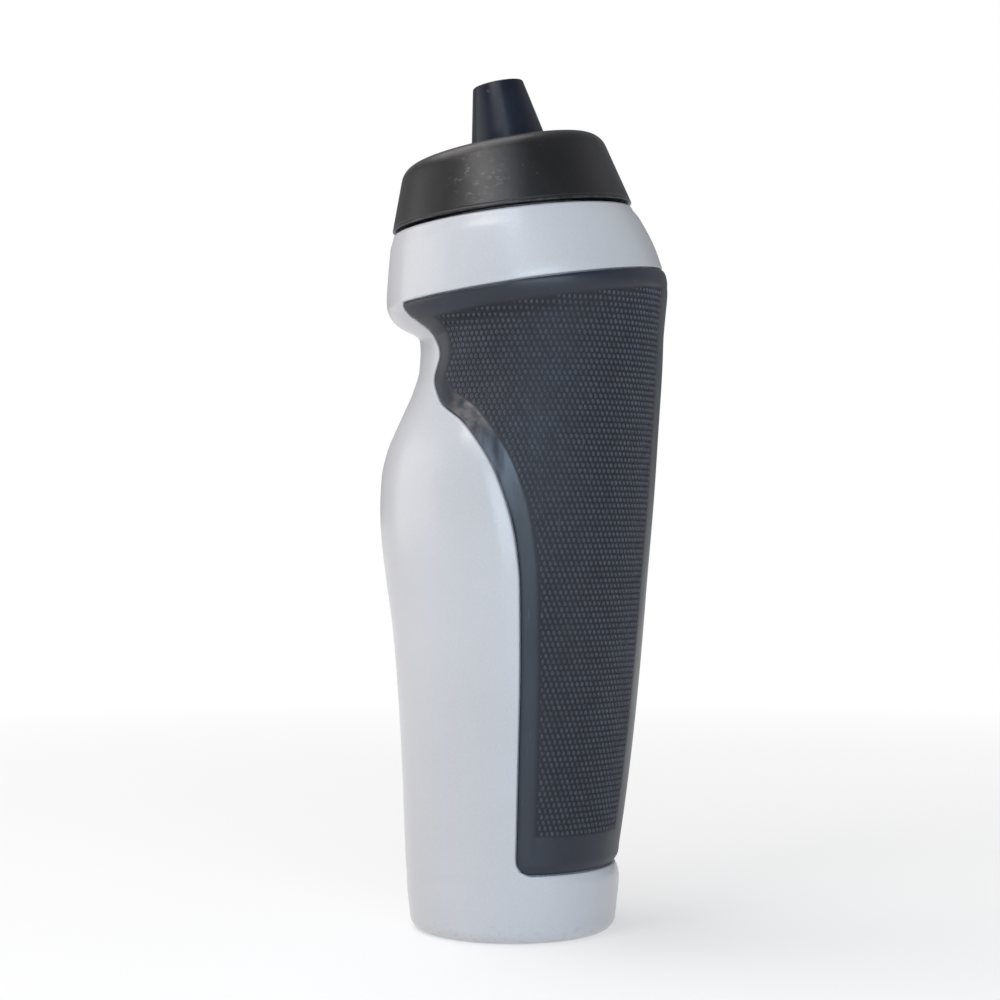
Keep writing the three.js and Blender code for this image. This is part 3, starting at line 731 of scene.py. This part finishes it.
def grip_dots(shape):
    """The field of low oval dots, a little taller than wide."""
    angle, level, size = dot_places()
    inset = grip_inset(FAR, FAR, FIELD_DEPTH)
    middle = surface(angle, level, inset)
    along = surface(angle + 0.003, level, inset) - surface(angle - 0.003, level, inset)
    rise = surface(angle, level + 0.1, inset) - surface(angle, level - 0.1, inset)
    out = np.cross(along, rise)
    out /= np.linalg.norm(out, axis=1)[:, None]
    up = np.array([0.0, 0.0, 1.0]) - out * out[:, 2:3]
    up /= np.linalg.norm(up, axis=1)[:, None]
    along = np.cross(up, out)
    rim = around(DOT_SIDES) + math.pi / DOT_SIDES
    points = []
    raised = []
    # Each ring's third value is painted light, kept in the relief attribute: it paints the dot lighter
    # from its foot up to its apex, a painted highlight on each crown.
    for share, height, painted_lightness in ((1.0, -0.12, 0.0), (0.66, DOT_RISE * 0.62, 0.45)):
        for a in rim:
            aside = DOT_HALF_WIDTH * share * math.cos(a) * along
            upwards = DOT_HALF_HEIGHT * share * math.sin(a) * up
            points.append(middle + (aside + upwards + height * out) * size[:, None])
            raised.append(painted_lightness)
    points.append(middle + DOT_RISE * out * size[:, None])
    raised.append(1.0)
    per_dot = len(points)
    points = np.stack(points, axis=1)
    low = np.arange(DOT_SIDES)
    high = low + DOT_SIDES
    top = np.full(DOT_SIDES, per_dot - 1)
    sides = np.stack([low, np.roll(low, -1), np.roll(high, -1), high], axis=1)
    crown = np.stack([high, np.roll(high, -1), top], axis=1)
    starts = np.arange(len(points)) * per_dot
    faces = []
    for pattern in (sides, crown, low[None, ::-1]):
        faces.extend((starts[:, None, None] + pattern).reshape(-1, pattern.shape[1]).tolist())
    shape.add(points, faces, np.tile(raised, len(points)))


def grip_panel():
    shape = Shape()
    grip_shell(shape)
    grip_dots(shape)
    return shape.make("grip_panel_rubber", sharp=50)


# ---------------------------------------------------------------- cap
def cone_radius(inset, height):
    half = math.radians(CAP_HALF_ANGLE)
    return RIM_RADIUS - inset / math.cos(half) - height * math.tan(half)


def cap_edge(inset, radius, angles, steps):
    """The rounded edge between the cone and the leaning top: (radius, height) per angle, going up."""
    half = math.radians(CAP_HALF_ANGLE)
    slope = math.tan(math.radians(CAP_TOP_LEAN)) * np.cos(angles)
    top = CAP_HEIGHT - inset
    corner_radius = cone_radius(inset, top) / (1 + slope * math.tan(half))
    corner = np.stack([corner_radius, top + slope * corner_radius])
    down = np.stack([math.sin(half) + 0 * slope, -math.cos(half) + 0 * slope])
    inwards = np.stack([-1 + 0 * slope, -slope]) / np.hypot(1, slope)
    opening = np.arccos(np.sum(down * inwards, axis=0))
    start = corner + down * radius / np.tan(opening / 2)
    bisector = (down + inwards) / np.linalg.norm(down + inwards, axis=0)
    centre = corner + bisector * radius / np.sin(opening / 2)
    first = np.arctan2(start[1] - centre[1], start[0] - centre[0])
    arc = []
    for step in range(steps + 1):
        a = first + (math.pi - opening) * step / steps
        arc.append((centre[0] + radius * np.cos(a), centre[1] + radius * np.sin(a)))
    return arc


def between_rings(lower, upper, count):
    shares = np.arange(1, count + 1) / (count + 1)
    return [lower * (1 - share) + upper * share for share in shares]


def cap_outside(angles):
    """Rings from the cap's rim up to the edge of its top."""
    outline = []
    for turn in np.radians(np.linspace(0, 90, 4)):
        height = CAP_LIP_ROUND * (1 - math.cos(turn))
        outline.append((cone_radius(0, height) - CAP_LIP_ROUND * (1 - math.sin(turn)), height))
    for offset, depth in CAP_LINE:
        height = CAP_LINE_HEIGHT + offset
        outline.append((cone_radius(0, height) - depth, height))
    rings = rings_of(outline, angles, thread_frame)
    edge = rings_of(cap_edge(0, CAP_EDGE_RADIUS, angles, 14), angles, thread_frame)
    return [*rings, *between_rings(rings[-1], edge[0], 8), *edge]


def cap_inside(angles):
    """Rings from the edge under the top down to the rim."""
    arc = cap_edge(CAP_WALL, CAP_EDGE_RADIUS - CAP_WALL, angles, 8)
    edge = rings_of(reversed(arc), angles, thread_frame)
    foot = ring(cone_radius(CAP_WALL, 0.25), 0.25, angles, thread_frame)
    lip = ring(cone_radius(CAP_WALL, 0.0) + 0.25, 0.0, angles, thread_frame)
    return [*edge, *between_rings(edge[-1], foot, 4), foot, lip]


def tower_rings(angles):
    """The valve tower from its foot on the top, over its rim and down its bore, to the stub below."""
    wall = TOWER_RADIUS
    bead = CORE_FOOT + CORE_LIP[1] + SPOUT_TRAVEL + GAP
    bead_radius, bead_height = STOP_BEAD
    bed_low = O_RING[2] - O_RING[1] - GAP
    bed_high = O_RING[2] + O_RING[1] + GAP
    foot = -CAP_WALL - 2
    outline = [
        (wall + 0.7, 0.0), (wall + 0.2, 0.2), (wall, 0.7), (wall, bead - 0.25), (wall, bead),
        (bead_radius - 0.25, bead), (bead_radius, bead + 0.25),
        (bead_radius, bead + bead_height - 0.3), (wall + 0.1, bead + bead_height),
        (wall, bead + bead_height + 0.3), (wall, bed_low - 0.1), (wall - 0.1, bed_low),
        (O_RING_BED, bed_low), (O_RING_BED, bed_high), (wall - 0.1, bed_high),
        (wall, bed_high + 0.1), (wall, TOWER_TOP - 0.5), (wall - 0.15, TOWER_TOP - 0.15),
        (wall - 0.5, TOWER_TOP), (TOWER_BORE + 0.2, TOWER_TOP), (TOWER_BORE, TOWER_TOP - 0.2),
        (TOWER_BORE, 4.0), (TOWER_BORE, foot + 0.2), (TOWER_BORE + 0.2, foot), (wall - 0.2, foot),
        (wall, foot + 0.2), (wall, -CAP_WALL - 0.4), (wall + 0.4, -CAP_WALL),
    ]
    return rings_of(outline, angles, spout_frame)


def spider(shape):
    """The valve's centre post on its legs inside the tower."""
    foot = TOWER_TOP - SPIDER_HEIGHT
    post = [(0, foot), (POST_RADIUS, foot), (POST_RADIUS, POST_TOP), (0, POST_TOP)]
    turned(shape, rounded(post, 0.2), spout_frame)
    half = SPIDER_THICKNESS / 2
    section = [(-half, -0.9), (-half + 0.1, -1), (half - 0.1, -1), (half, -0.9)]
    section += [(half, 0.85), (half - 0.15, 1), (-half + 0.15, 1), (-half, 0.85)]
    for leg in range(SPIDER_LEGS):
        a = 2 * math.pi * leg / SPIDER_LEGS
        out = np.array([math.cos(a), math.sin(a), 0])
        aside = np.array([-math.sin(a), math.cos(a), 0])
        rings = []
        for reach in (0.4, 1.6, 2.4, TOWER_BORE + 0.3):
            middle = out * reach + np.array([0, 0, TOWER_TOP - SPIDER_HEIGHT / 2 - 0.05])
            loop = [middle + aside * u + np.array([0, 0, w]) for u, w in section]
            rings.append(spout_frame(np.array(loop)))
        ends = [np.mean(rings[0], axis=0), np.mean(rings[-1], axis=0)]
        shape.add_rings(rings, closed=False, caps=ends)


def cap_outer():
    angles = around(TURNED_SEGMENTS)
    outside = cap_outside(angles)
    tower = tower_rings(angles)
    inside = cap_inside(angles)
    rings = [
        *outside,
        *between_rings(outside[-1], tower[0], 5),
        *tower,
        *between_rings(tower[-1], inside[0], 4),
        *inside,
    ]
    shape = Shape()
    shape.add_rings(rings)
    spider(shape)
    return shape.make("cap_outer")


def cap_insert():
    flange_foot = NECK_HEIGHT + GASKET_THICKNESS + 2 * GAP
    flange_top = flange_foot + FLANGE_THICKNESS
    rim_top = INSERT_FOOT + INSERT_RIM
    outline = rounded(
        [
            (INSERT_BORE + 0.9, INSERT_FOOT),
            (cone_radius(CAP_WALL, INSERT_FOOT) - GAP, INSERT_FOOT),
            (cone_radius(CAP_WALL, rim_top) - GAP, rim_top),
            (INSERT_RADIUS, rim_top),
            (INSERT_RADIUS, flange_top),
            (FLANGE_INNER, flange_top),
            (FLANGE_INNER, flange_foot),
            (INSERT_BORE - 0.6, flange_foot),
        ],
        0.35,
    )
    angles = around(TURNED_SEGMENTS)
    for height in np.arange(flange_foot - 0.5, INSERT_FOOT + 0.6, -THREAD_STEP):
        outline.append((INSERT_BORE - thread_height(angles, height, INSERT_THREAD), height))
    return turned_piece("cap_insert", outline, thread_frame, TURNED_SEGMENTS)


def gasket_ring():
    foot = NECK_HEIGHT + GAP
    top = foot + GASKET_THICKNESS
    outer = INSERT_BORE - GAP
    outline = [(GASKET_INNER, foot), (outer, foot), (outer, top), (GASKET_INNER, top)]
    return turned_piece("gasket_ring", rounded(outline, 0.3), thread_frame, TURNED_SEGMENTS)


# ---------------------------------------------------------------- valve and spout
def valve_o_ring():
    radius, section, height = O_RING
    outline = [(radius + section * math.cos(a), height + section * math.sin(a)) for a in around(20)]
    return turned_piece("valve_o_ring", outline, spout_frame)


def valve_plug():
    foot = PLUG_TOP - PLUG_HEIGHT
    outline = [
        (0, PLUG_TOP - 0.25), (1.4, PLUG_TOP - 0.2), (2.1, PLUG_TOP), (PLUG_RADIUS, PLUG_TOP - 0.1),
        (PLUG_RADIUS, foot + 0.3), (PLUG_RADIUS - 0.4, foot), (POST_RADIUS + GAP, foot),
        (POST_RADIUS + GAP, POST_TOP + GAP), (0, POST_TOP + GAP),
    ]
    return turned_piece("valve_plug", rounded(outline, 0.5), spout_frame)


def spout_inner_core():
    roof = CORE_TOP - CORE_ROOF
    lip_radius, lip = CORE_LIP
    outline = [
        (lip_radius, CORE_FOOT), (CORE_RADIUS, CORE_FOOT), (CORE_RADIUS, CORE_TOP),
        (DRINK_HOLE, CORE_TOP), (DRINK_HOLE, roof), (CORE_BORE, roof - 0.6),
        (CORE_BORE, CORE_FOOT + lip), (lip_radius, CORE_FOOT + lip - 0.2),
    ]
    return turned_piece("spout_inner_core", rounded(outline, 0.25), spout_frame)


def sleeve_radius(height):
    return SPOUT_FOOT_RADIUS + (SPOUT_TIP_RADIUS - SPOUT_FOOT_RADIUS) * height / SPOUT_HEIGHT


def spout_bite_sleeve():
    bore = CORE_RADIUS + GAP
    skirt_top = 7.0
    tip = sleeve_radius(SPOUT_HEIGHT)
    outline = [
        (sleeve_radius(0) - SLEEVE_SKIRT, GAP), (sleeve_radius(GAP), GAP), (sleeve_radius(6), 6),
        (sleeve_radius(12), 12), (sleeve_radius(SPOUT_HEIGHT - 0.3), SPOUT_HEIGHT - 0.3),
        (tip - 0.35, SPOUT_HEIGHT), (tip - 1.5, SPOUT_HEIGHT - 0.2),
        (DRINK_HOLE + 0.6, SPOUT_HEIGHT - 0.5), (DRINK_HOLE, SPOUT_HEIGHT - 0.9),
        (DRINK_HOLE, CORE_TOP + GAP), (bore, CORE_TOP + GAP), (bore, skirt_top),
        (sleeve_radius(skirt_top - 1.5) - SLEEVE_SKIRT, skirt_top - 1.5),
    ]
    return turned_piece("spout_bite_sleeve", rounded(outline, 0.4), spout_frame, 96)


# ---------------------------------------------------------------- materials
# Patches on the surfaces: the centre in millimetres, in the frame of the standing face, and the radius.
# The patch at the bend is rubbed wear with a painted bluish sheen, the one at the waist is a painted warm
# sheen, and the cap's smear is wear.
RUB_AND_SHEEN_AT_BEND = ((-6, -35, 134), 19)
WARM_SHEEN_AT_WAIST = ((-13, -33, 147), 10)
CAP_SMEAR = ((-10, -30, 210), 10)


class Nodes:
    """Short ways to build a tree of nodes. A value is a number, a colour or another node's socket."""

    def __init__(self, tree):
        self.tree = tree

    def node(self, kind, settings=(), **inputs):
        made = self.tree.nodes.new(kind)
        for name, value in dict(settings).items():
            setattr(made, name, value)
        for name, value in inputs.items():
            self.put(made.inputs[name.replace("_", " ")], value)
        return made

    def put(self, socket, value):
        if isinstance(value, bpy.types.NodeSocket):
            self.tree.links.new(value, socket)
        else:
            socket.default_value = value

    def span(self, value, low, high, to_low=0.0, to_high=1.0):
        """The value taken from one range to another, and held at its ends."""
        ends = {"From_Min": low, "From_Max": high, "To_Min": to_low, "To_Max": to_high}
        return self.node("ShaderNodeMapRange", Value=value, **ends).outputs["Result"]

    def maths(self, operation, first, second=0.0):
        made = self.node("ShaderNodeMath", {"operation": operation})
        self.put(made.inputs[0], first)
        self.put(made.inputs[1], second)
        return made.outputs["Value"]

    def times(self, first, *others):
        """The product of all the values."""
        for value in others:
            first = self.maths("MULTIPLY", first, value)
        return first

    def mix(self, share, first, second):
        made = self.node("ShaderNodeMix", {"data_type": "RGBA"})
        for socket, value in zip((made.inputs[0], made.inputs[6], made.inputs[7]), (share, first, second)):
            self.put(socket, value)
        return made.outputs[2]

    def bump(self, height, strength, depth, below=None):
        made = self.node("ShaderNodeBump", Height=height, Strength=strength, Distance=depth)
        if below is not None:
            self.put(made.inputs["Normal"], below)
        return made.outputs["Normal"]


class Look(Nodes):
    """A node material with one Principled shader, in the frame of the whole object."""

    def __init__(self, name, **constants):
        self.material = bpy.data.materials.new(name)
        self.material.use_nodes = True
        super().__init__(self.material.node_tree)
        self.shader = self.tree.nodes["Principled BSDF"]
        for socket, value in constants.items():
            self.shader.inputs[socket.replace("_", " ")].default_value = value
        self.place = self.node("ShaderNodeTexCoord").outputs["Object"]

    def drive(self, socket, value):
        self.put(self.shader.inputs[socket], value)

    def noise(self, scale, detail=3.0, stretch=None, rough=0.5):
        """Noise between about 0.3 and 0.7, with features of 1/scale metres."""
        place = self.place
        if stretch:
            place = self.node("ShaderNodeMapping", Vector=place, Scale=stretch).outputs["Vector"]
        made = self.node("ShaderNodeTexNoise", Vector=place, Scale=scale, Detail=detail, Roughness=rough)
        return made.outputs["Fac"]

    def axis(self, name):
        return self.node("ShaderNodeSeparateXYZ", Vector=self.place).outputs[name]

    def clouds(self, scale, detail=3.0):
        """Noise that covers the whole range from 0 to 1."""
        return self.span(self.noise(scale, detail), 0.35, 0.65)

    def near(self, centre, radius):
        """1 at a point and 0 beyond a radius from it, in millimetres of the standing face's frame."""
        x, y, z = centre
        place = (x * MM + BASE_X, y * MM, z * MM)
        away = self.node("ShaderNodeVectorMath", {"operation": "DISTANCE"})
        self.put(away.inputs[0], self.place)
        self.put(away.inputs[1], place)
        return self.span(away.outputs["Value"], radius * MM, radius * MM * 0.25)

    def worn_edges(self, low, high):
        """1 on sharply convex places."""
        return self.span(self.node("ShaderNodeNewGeometry").outputs["Pointiness"], low, high)


def srgb(red, green, blue):
    """A colour, given in display steps from 0 to 255, as the linear values that nodes take."""
    values = [value / 255 for value in (red, green, blue)]
    linear = [v / 12.92 if v <= 0.04045 else ((v + 0.055) / 1.055) ** 2.4 for v in values]
    return (*linear, 1.0)


def body_look():
    look = Look("body_satin_grey", IOR=1.5, Coat_Weight=0.26, Coat_Roughness=0.2)
    speckle = look.noise(3500, 1)
    base = look.mix(look.clouds(22, 2), srgb(180, 180, 183), srgb(185, 185, 189))
    pearl = look.mix(look.span(speckle, 0.45, 0.75, 0, 0.3), base, srgb(205, 206, 211))
    near_foot = look.span(look.axis("Z"), 0.007, 0.0005)
    rubbed = look.times(near_foot, look.span(look.noise(700, 5), 0.5, 0.7))
    scuffed = look.mix(look.times(rubbed, 0.4), pearl, srgb(150, 150, 153))
    hair = look.span(look.noise(1, 4, (1400, 1400, 60), 0.6), 0.66, 0.72)
    marked = look.mix(look.times(hair, 0.12), scuffed, srgb(215, 216, 219))
    look.drive("Base Color", marked)
    rough = look.span(look.noise(90, 4), 0.3, 0.7, 0.28, 0.36)
    look.drive("Roughness", look.maths("ADD", rough, look.times(hair, 0.12)))
    seam = look.span(look.maths("ABSOLUTE", look.axis("Y")), 0.0004, 0.0001)
    peel = look.bump(look.noise(420, 2), 0.12, 0.0002)
    look.drive("Normal", look.bump(seam, 0.5, 0.00012, peel))
    return look.material


def grip_look():
    look = Look("grip_slate_rubber", IOR=1.5, Specular_IOR_Level=0.48)
    relief = look.node("ShaderNodeAttribute", {"attribute_name": "relief"}).outputs["Fac"]
    dot = look.span(relief, 0, 1)
    sunk = look.span(relief, 0, -1)
    border = look.mix(look.clouds(30), srgb(25, 31, 42), srgb(30, 36, 48))
    # Painted shade and highlight: where the relief attribute is negative, the sunk field between the dots
    # is painted darker than the border; where it is positive, each dot is painted lighter towards its
    # crown.
    ground = look.mix(sunk, border, srgb(21, 24, 31))
    painted_lit_tops = look.mix(look.span(look.noise(700, 3), 0.35, 0.68), srgb(33, 37, 47), srgb(55, 60, 71))
    dots_lit_and_shaded = look.mix(dot, ground, painted_lit_tops)
    chafing = look.span(look.noise(300, 4), 0.4, 0.6, 0.2, 0.8)
    edges = look.times(look.worn_edges(0.52, 0.58), chafing, 0.35)
    worn = look.mix(edges, dots_lit_and_shaded, srgb(72, 82, 98))
    hair = look.span(look.noise(1, 4, (1500, 1500, 90), 0.6), 0.64, 0.72, 0, 0.22)
    smooth_part = look.times(look.span(sunk, 0, 0.5, 1, 0), look.span(dot, 0, 0.5, 1, 0))
    # Rubbed wear and a painted bluish sheen in one patch on the smooth border at the bend.
    streaks = look.span(look.noise(240, 5, (1, 1, 0.25)), 0.36, 0.6)
    handled_and_sheen = look.times(look.near(*RUB_AND_SHEEN_AT_BEND), streaks, smooth_part)
    rubbed = look.mix(look.times(handled_and_sheen, 0.8), worn, srgb(90, 100, 112))
    # Painted warm sheen: a pinkish patch on the smooth border at the waist stands for a reflection of the
    # warm light from the left.
    sheen_blotches = look.span(look.noise(330, 5), 0.38, 0.66)
    painted_warm_sheen = look.times(look.near(*WARM_SHEEN_AT_WAIST), sheen_blotches, smooth_part)
    with_warm_sheen = look.mix(look.times(painted_warm_sheen, 0.75), rubbed, srgb(124, 113, 108))
    look.drive("Base Color", look.mix(hair, with_warm_sheen, srgb(96, 104, 114)))
    smears = look.span(look.noise(45, 4, (1, 1, 0.4)), 0.35, 0.65, 0.34, 0.48)
    dull = look.maths("ADD", look.times(sunk, 0.2), look.times(handled_and_sheen, 0.12))
    look.drive("Roughness", look.maths("ADD", smears, dull))
    grain = look.bump(look.noise(2600, 3), 0.25, 0.00006)
    look.drive("Normal", look.bump(look.noise(160, 2), 0.1, 0.0003, grain))
    return look.material


def cap_look():
    look = Look("cap_charcoal_plastic", IOR=1.48, Specular_IOR_Level=0.48)
    base = look.mix(look.clouds(40), srgb(19, 18, 20), srgb(24, 23, 24))
    fine = look.mix(look.span(look.noise(2200, 2), 0.35, 0.7, 0, 0.22), base, srgb(44, 42, 44))
    flecks = look.span(look.noise(420, 5, (1, 1, 1.8)), 0.55, 0.7)
    smear = look.times(look.near(*CAP_SMEAR), flecks)
    patches = look.span(look.noise(60, 2), 0.55, 0.65)
    strays = look.times(patches, look.span(look.noise(700, 5), 0.62, 0.72))
    scuffs = look.maths("MAXIMUM", smear, strays)
    scuffed = look.mix(look.times(scuffs, 0.5), fine, srgb(128, 125, 123))
    edges = look.times(look.worn_edges(0.515, 0.56), look.span(look.noise(420, 4), 0.42, 0.6))
    worn = look.mix(look.times(edges, 0.5), scuffed, srgb(88, 86, 86))
    look.drive("Base Color", worn)
    rough = look.span(look.noise(120, 4), 0.3, 0.7, 0.33, 0.43)
    look.drive("Roughness", look.maths("ADD", rough, look.times(scuffs, 0.1)))
    grain = look.bump(look.noise(1900, 3), 0.35, 0.00008)
    look.drive("Normal", look.bump(look.noise(60, 2), 0.08, 0.0006, grain))
    return look.material


def spout_look():
    look = Look("spout_blue_black_rubber", IOR=1.5, Specular_IOR_Level=0.21)
    base = look.mix(look.clouds(70), srgb(23, 28, 38), srgb(29, 34, 45))
    specks = look.span(look.noise(900, 4), 0.68, 0.74)
    look.drive("Base Color", look.mix(look.times(specks, 0.4), base, srgb(80, 86, 96)))
    look.drive("Roughness", look.span(look.noise(150, 4), 0.3, 0.7, 0.26, 0.36))
    look.drive("Normal", look.bump(look.noise(1500, 2), 0.15, 0.00005))
    return look.material


def plain_look(name, dark, light, roughness, grain):
    """Moulded plastic or rubber of the inner parts."""
    look = Look(name, IOR=1.48)
    base = look.mix(look.clouds(80), dark, light)
    look.drive("Base Color", base)
    look.drive("Roughness", look.span(look.noise(200, 4), 0.3, 0.7, roughness - 0.05, roughness + 0.07))
    look.drive("Normal", look.bump(look.noise(grain, 3), 0.2, 0.00006))
    return look.material


# ---------------------------------------------------------------- stage, lights and camera
def floor_look():
    look = Look("pale_floor", Roughness=0.9)
    tone = look.mix(look.clouds(3, 2), (0.9, 0.9, 0.9, 1), (0.92, 0.92, 0.92, 1))
    look.drive("Base Color", tone)
    look.drive("Normal", look.bump(look.noise(700, 2), 0.02, 0.0001))
    away = look.node("ShaderNodeVectorMath", {"operation": "LENGTH"}, Vector=look.place).outputs["Value"]
    glow = look.node("ShaderNodeEmission", Color=(1, 1, 1, 1), Strength=1.0)
    blend = look.node("ShaderNodeMixShader", Fac=look.span(away, 0.05, 0.7, 0.5, 1.0))
    look.put(blend.inputs[1], look.shader.outputs[0])
    look.put(blend.inputs[2], glow.outputs[0])
    look.put(look.tree.nodes["Material Output"].inputs[0], blend.outputs[0])
    return look.material


def floor():
    angles = around(96)
    radii = (20, 60, 120, 250, 500, 900, 1600, 4000)
    rings = [upright(radius, 0, angles) for radius in radii]
    shape = Shape()
    shape.add_rings(rings, closed=False, caps=((0, 0, 0), False))
    made = shape.make("floor")
    made.data.materials.append(floor_look())
    if made.data.polygons[0].normal.z < 0:
        made.data.flip_normals()
    made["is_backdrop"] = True


# Name, azimuth and elevation in degrees, width and height in metres, watts, and tint. Azimuth 0 is
# the camera's side, and minus is left.
LIGHTS = (
    ("key", -37, 46, 0.38, 0.32, 2.6, (1.0, 0.97, 0.95)),
    ("sky", -8, 38, 0.2, 0.34, 1.0, (0.75, 0.88, 1.0)),
    ("left_fill", -93, 10, 0.84, 0.54, 2.3, (1.0, 0.95, 0.91)),
    ("window", 12, 5, 0.58, 0.42, 3.6, (0.68, 0.85, 1.0)),
    ("right_fill", 100, 20, 0.8, 0.8, 0.55, (1.0, 0.97, 0.95)),
    ("overhead", -112, 68, 0.7, 0.7, 4.6, (1.0, 0.96, 0.94)),
)


def area_light(name, azimuth, elevation, width, height, watts, tint):
    """A soft light aimed at the middle of the object."""
    a, e = math.radians(azimuth), math.radians(elevation)
    aim = Vector((0, 0, 0.12))
    away = Vector((math.sin(a) * math.cos(e), -math.cos(a) * math.cos(e), math.sin(e)))
    lamp = bpy.data.lights.new(name, "AREA")
    lamp.shape = "RECTANGLE"
    lamp.size = width
    lamp.size_y = height
    lamp.energy = watts
    lamp.color = tint
    made = in_scene(name, lamp)
    made.location = aim + away * LIGHT_DISTANCE
    made.rotation_mode = "QUATERNION"
    made.rotation_quaternion = away.to_track_quat("Z", "Y")


def surroundings(front, back):
    """Soft light from all round, dimmer on the camera's side, and a white backdrop."""
    world = bpy.data.worlds.new("studio")
    world.use_nodes = True
    nodes = Nodes(world.node_tree)
    background = world.node_tree.nodes["Background"]
    direction = nodes.node("ShaderNodeTexCoord").outputs["Generated"]
    depth = nodes.node("ShaderNodeSeparateXYZ", Vector=direction).outputs["Y"]
    room = nodes.span(depth, -0.8, 0.8, front, back)
    seen = nodes.node("ShaderNodeLightPath").outputs["Is Camera Ray"]
    nodes.put(background.inputs["Color"], nodes.mix(seen, (0.95, 0.98, 1.02, 1), (1, 1, 1, 1)))
    nodes.put(background.inputs["Strength"], nodes.span(seen, 0, 1, room))
    bpy.context.scene.world = world


def camera():
    data = bpy.data.cameras.new("camera")
    data.lens = CAMERA_LENS
    data.sensor_width = 36
    data.clip_start = 0.05
    data.clip_end = 20
    made = in_scene("camera", data)
    made.location = (BASE_X + CAMERA_ASIDE * MM, -CAMERA_DISTANCE * MM, CAMERA_HEIGHT * MM)
    made.rotation_euler = (math.radians(90), 0, 0)
    bpy.context.scene.camera = made


# ---------------------------------------------------------------- assembly
def place(piece, node, body, slot, material):
    piece.data.materials.append(material)
    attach(piece, body)
    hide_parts(node)


camera()
floor()
surroundings(0.16, 0.3)
for light in LIGHTS:
    area_light(*light)
bpy.context.scene.view_settings.view_transform = "Standard"

insert_black = plain_look("insert_black_plastic", srgb(34, 34, 36), srgb(42, 42, 45), 0.5, 1500)
core_black = plain_look("core_black_plastic", srgb(36, 36, 39), srgb(44, 44, 47), 0.42, 1500)
plug_black = plain_look("plug_soft_black", srgb(44, 47, 53), srgb(52, 56, 62), 0.6, 2200)
milky = plain_look("milky_silicone", srgb(212, 213, 208), srgb(222, 223, 219), 0.5, 1800)

place(body_shell(), "bottle_body", "bottle", "body_plastic", body_look())
place(grip_panel(), "grip_panel", "bottle", "grip_rubber", grip_look())
place(cap_outer(), "cap_shell", "cap", "cap_plastic", cap_look())
place(cap_insert(), "thread_insert", "cap", "insert_plastic", insert_black)
place(gasket_ring(), "cap_gasket", "closure_seal", "seal_silicone", milky)
place(valve_o_ring(), "tower_o_ring", "cap", "seal_silicone", milky)
place(valve_plug(), "plug_tip", "cap", "spout_rubber", plug_black)
place(spout_inner_core(), "spout_core", "spout", "insert_plastic", core_black)
place(spout_bite_sleeve(), "spout_sleeve", "spout", "spout_rubber", spout_look())

sizes = {"cad": cad_box, "visual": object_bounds()}
{name: [list(corner) for corner in box] for name, box in sizes.items()}
